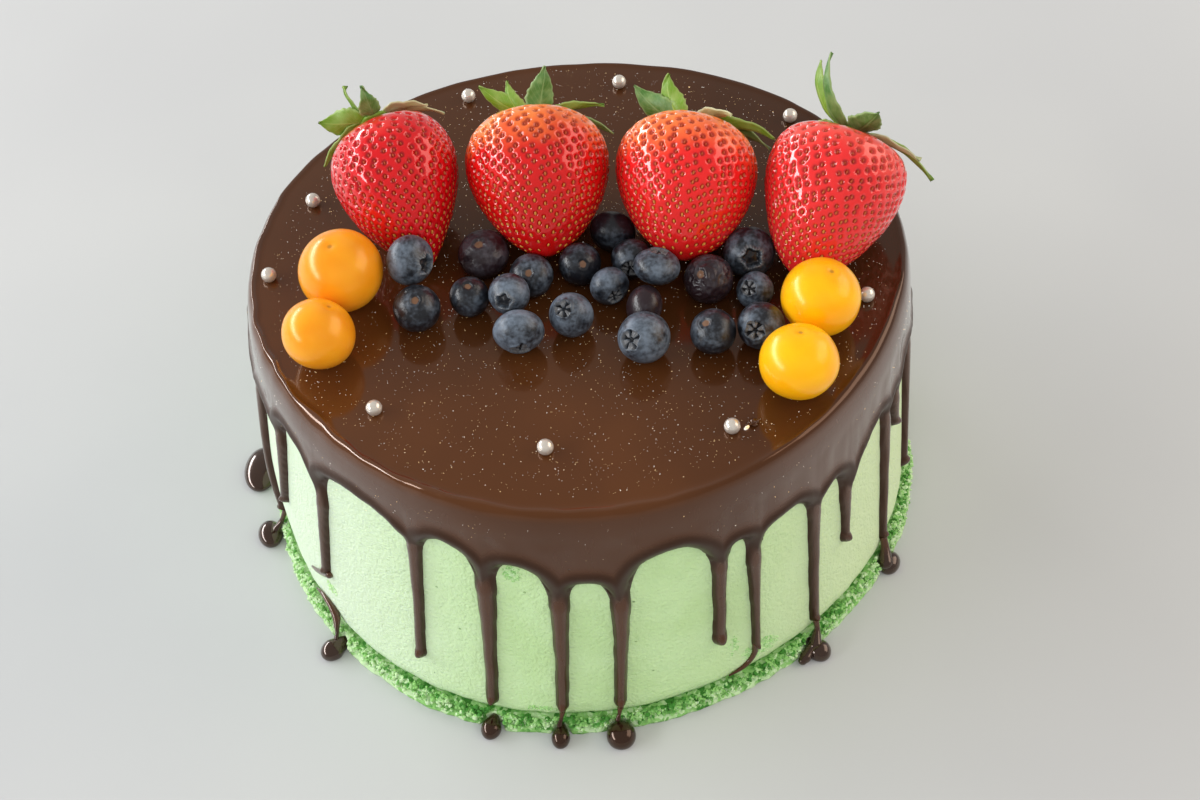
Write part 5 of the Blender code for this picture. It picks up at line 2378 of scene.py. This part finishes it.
class Studio:
    """The pale floor, the soft lights and the camera."""

    CAMERA = Vector((4.1, -398.4, 469.5))
    RIGHT = Vector((0.99790695, -0.04789845, -0.04344499))
    UP = Vector((0.06466629, 0.73915166, 0.67042754))
    LENS = 54.77
    SENSOR = 36.0

    def floor(self) -> None:
        """Lay the pale floor that the cake stands on."""
        paint = Paint("pale floor")
        tone = paint.mix(paint.mottle(160, 2).step(0.3, 0.7), (0.54, 0.55, 0.56), (0.57, 0.58, 0.585))
        finish = paint.finish({"Base Color": tone, "Roughness": 0.55, "Specular IOR Level": 0.3})
        sheet = bmesh.new()
        bmesh.ops.create_grid(sheet, x_segments=2, y_segments=2, size=6.0)
        mesh = to_mesh("floor", sheet)
        mesh.materials.append(finish)
        put("floor", mesh)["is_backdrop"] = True

    def lamp(
        self,
        name: str,
        place: Vector,
        aim: Vector,
        size: tuple[float, float],
        power: float,
        colour: Colour,
        mirrored: bool = True,
    ) -> None:
        """Hang a soft light.

        Args:
            name: its name.
            place: its place, in metres.
            aim: the point that it faces.
            size: its width and height, in metres.
            power: its power, in watts.
            colour: its colour.
            mirrored: False where glossy surfaces don't reflect it.
        """
        light = bpy.data.lights.new(name, "AREA")
        light.shape = "RECTANGLE"
        light.size, light.size_y = size
        light.energy = power
        light.color = colour
        lamp = put(name, light)
        lamp.location = place
        lamp.visible_glossy = mirrored
        lamp.rotation_euler = (place - aim).to_track_quat("Z", "Y").to_euler()

    def surroundings(self, strength: float) -> None:
        """Light the surroundings an even grey.

        Args:
            strength: how bright it is.
        """
        world = bpy.context.scene.world or bpy.data.worlds.new("studio")
        bpy.context.scene.world = world
        world.use_nodes = True
        backdrop = world.node_tree.nodes["Background"]
        backdrop.inputs["Color"].default_value = (1.0, 0.99, 0.97, 1.0)
        backdrop.inputs["Strength"].default_value = strength

    def camera(self) -> None:
        """Set the camera at the photograph's viewing angle."""
        lens = bpy.data.cameras.new("camera")
        lens.lens = self.LENS
        lens.sensor_width = self.SENSOR
        lens.clip_start, lens.clip_end = 0.01, 50.0
        camera = put("camera", lens)
        axes = Matrix((self.RIGHT, self.UP, self.RIGHT.cross(self.UP))).transposed().to_4x4()
        camera.matrix_world = Matrix.Translation(self.CAMERA * MM) @ axes
        bpy.context.scene.camera = camera

    def build(self) -> None:
        """Set up the floor, the lights and the camera."""
        bpy.context.scene.view_settings.view_transform = "Standard"
        self.floor()
        middle = Vector((0, 0, 0.08))
        self.lamp("long window", Vector((-2.2, 0.45, 1.05)), middle, (5.0, 0.42), 92, (0.96, 0.985, 1.0))
        self.lamp("fill", Vector((1.9, 0.2, 1.2)), middle, (2.2, 1.2), 21, (1.0, 0.86, 0.72))
        self.lamp("back card", Vector((-0.2, 1.9, 1.9)), middle, (3.0, 1.4), 5, (1.0, 0.93, 0.84), False)
        self.lamp("soft front", Vector((0.5, -1.8, 1.9)), middle, (3.0, 2.0), 28, (1.0, 0.98, 0.95), False)
        self.surroundings(0.42)
        self.camera()


BERRY_SKIN = (0.009, 0.010, 0.014)
BERRY_BLOOM = (0.155, 0.195, 0.250)
PLUM_SKIN = (0.018, 0.009, 0.012)
PLUM_BLOOM = (0.100, 0.095, 0.115)
PLUMS = (3, 14, 17)
WRINKLED = {3: 0.05, 14: 0.12}
MARKS = {
    Crown.STAR: (0.15, 0.15, 0.155),
    Crown.CRATER: (0.17, 0.18, 0.19),
    Crown.SCAR: (0.17, 0.085, 0.045),
}


def main() -> None:
    """Build and dress every piece in order, and work out the bounds of the solids and of the whole."""
    logging.basicConfig(level=logging.INFO, format="%(message)s")
    solid_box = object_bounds()
    chocolate = Chocolate().material()
    scraps = BORDER_FINISH.material()
    seed = SeedSkin().material()
    strands = [smooth_run(stations) for stations in STRANDS]
    Drum().build(Frosting().material())
    Border(strands).build(scraps)
    TornFrosting().build(TORN_FINISH.material())
    Glaze().build(chocolate)
    Pearls().build(Pearl().material())
    for number, drop in enumerate(FOOT_DROPS, 1):
        skin = Droplet(drop).skin()
        make_piece(f"droplet_{number}", skin, chocolate, [f"foot_drop_{number}"])
    for number, strand in enumerate(strands, 1):
        make_piece(f"strand_{number}", ChocolateRun(strand).skin(), chocolate)
    for number, stations in enumerate(SMEARS, 1):
        skin = ChocolateRun(smooth_run(stations)).skin()
        make_piece(f"smear_{number}", skin, chocolate)
    sparkle = Sparkle().material()
    Glitter().build(sparkle)
    StrayCrumb().build(chocolate, sparkle)
    leaves = {tone: finish.material() for tone, finish in LEAF_FINISHES.items()}
    for number, (values, skin) in enumerate(zip(STRAWBERRIES, STRAWBERRY_SKINS), 1):
        StrawberryFlesh(number, values).build(skin.material(), seed)
        Calyx(number, SEPALS[number - 1]).build(leaves)
    for number, (fruit, crown, bloom) in enumerate(BLUEBERRIES, 1):
        name = f"blueberry_{number:02d}"
        skin, dust = (PLUM_SKIN, PLUM_BLOOM) if number in PLUMS else (BERRY_SKIN, BERRY_BLOOM)
        finish = BlueberrySkin(f"{name} skin", skin, dust, MARKS[crown], bloom).material()
        ball = BlueberryBall(name, fruit, number * 1.9, crown, WRINKLED.get(number, 0.0))
        ball.build(finish, "blueberry_skin")
    orange = PhysalisSkin("orange physalis skin", (0.80, 0.28, 0.008), (0.87, 0.35, 0.014)).material()
    amber = PhysalisSkin("amber physalis skin", (0.94, 0.41, 0.002), (0.98, 0.49, 0.004)).material()
    for number, fruit in enumerate(PHYSALIS, 1):
        finish = orange if number < 3 else amber
        PhysalisBall(f"physalis_{number}", fruit, number * 2.3).build(finish, "physalis_skin")
    Studio().build()
    boxes = {"solids": solid_box, "visual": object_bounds()}
    {name: [list(corner) for corner in box] for name, box in boxes.items()}


if __name__ == "__main__":
    main()
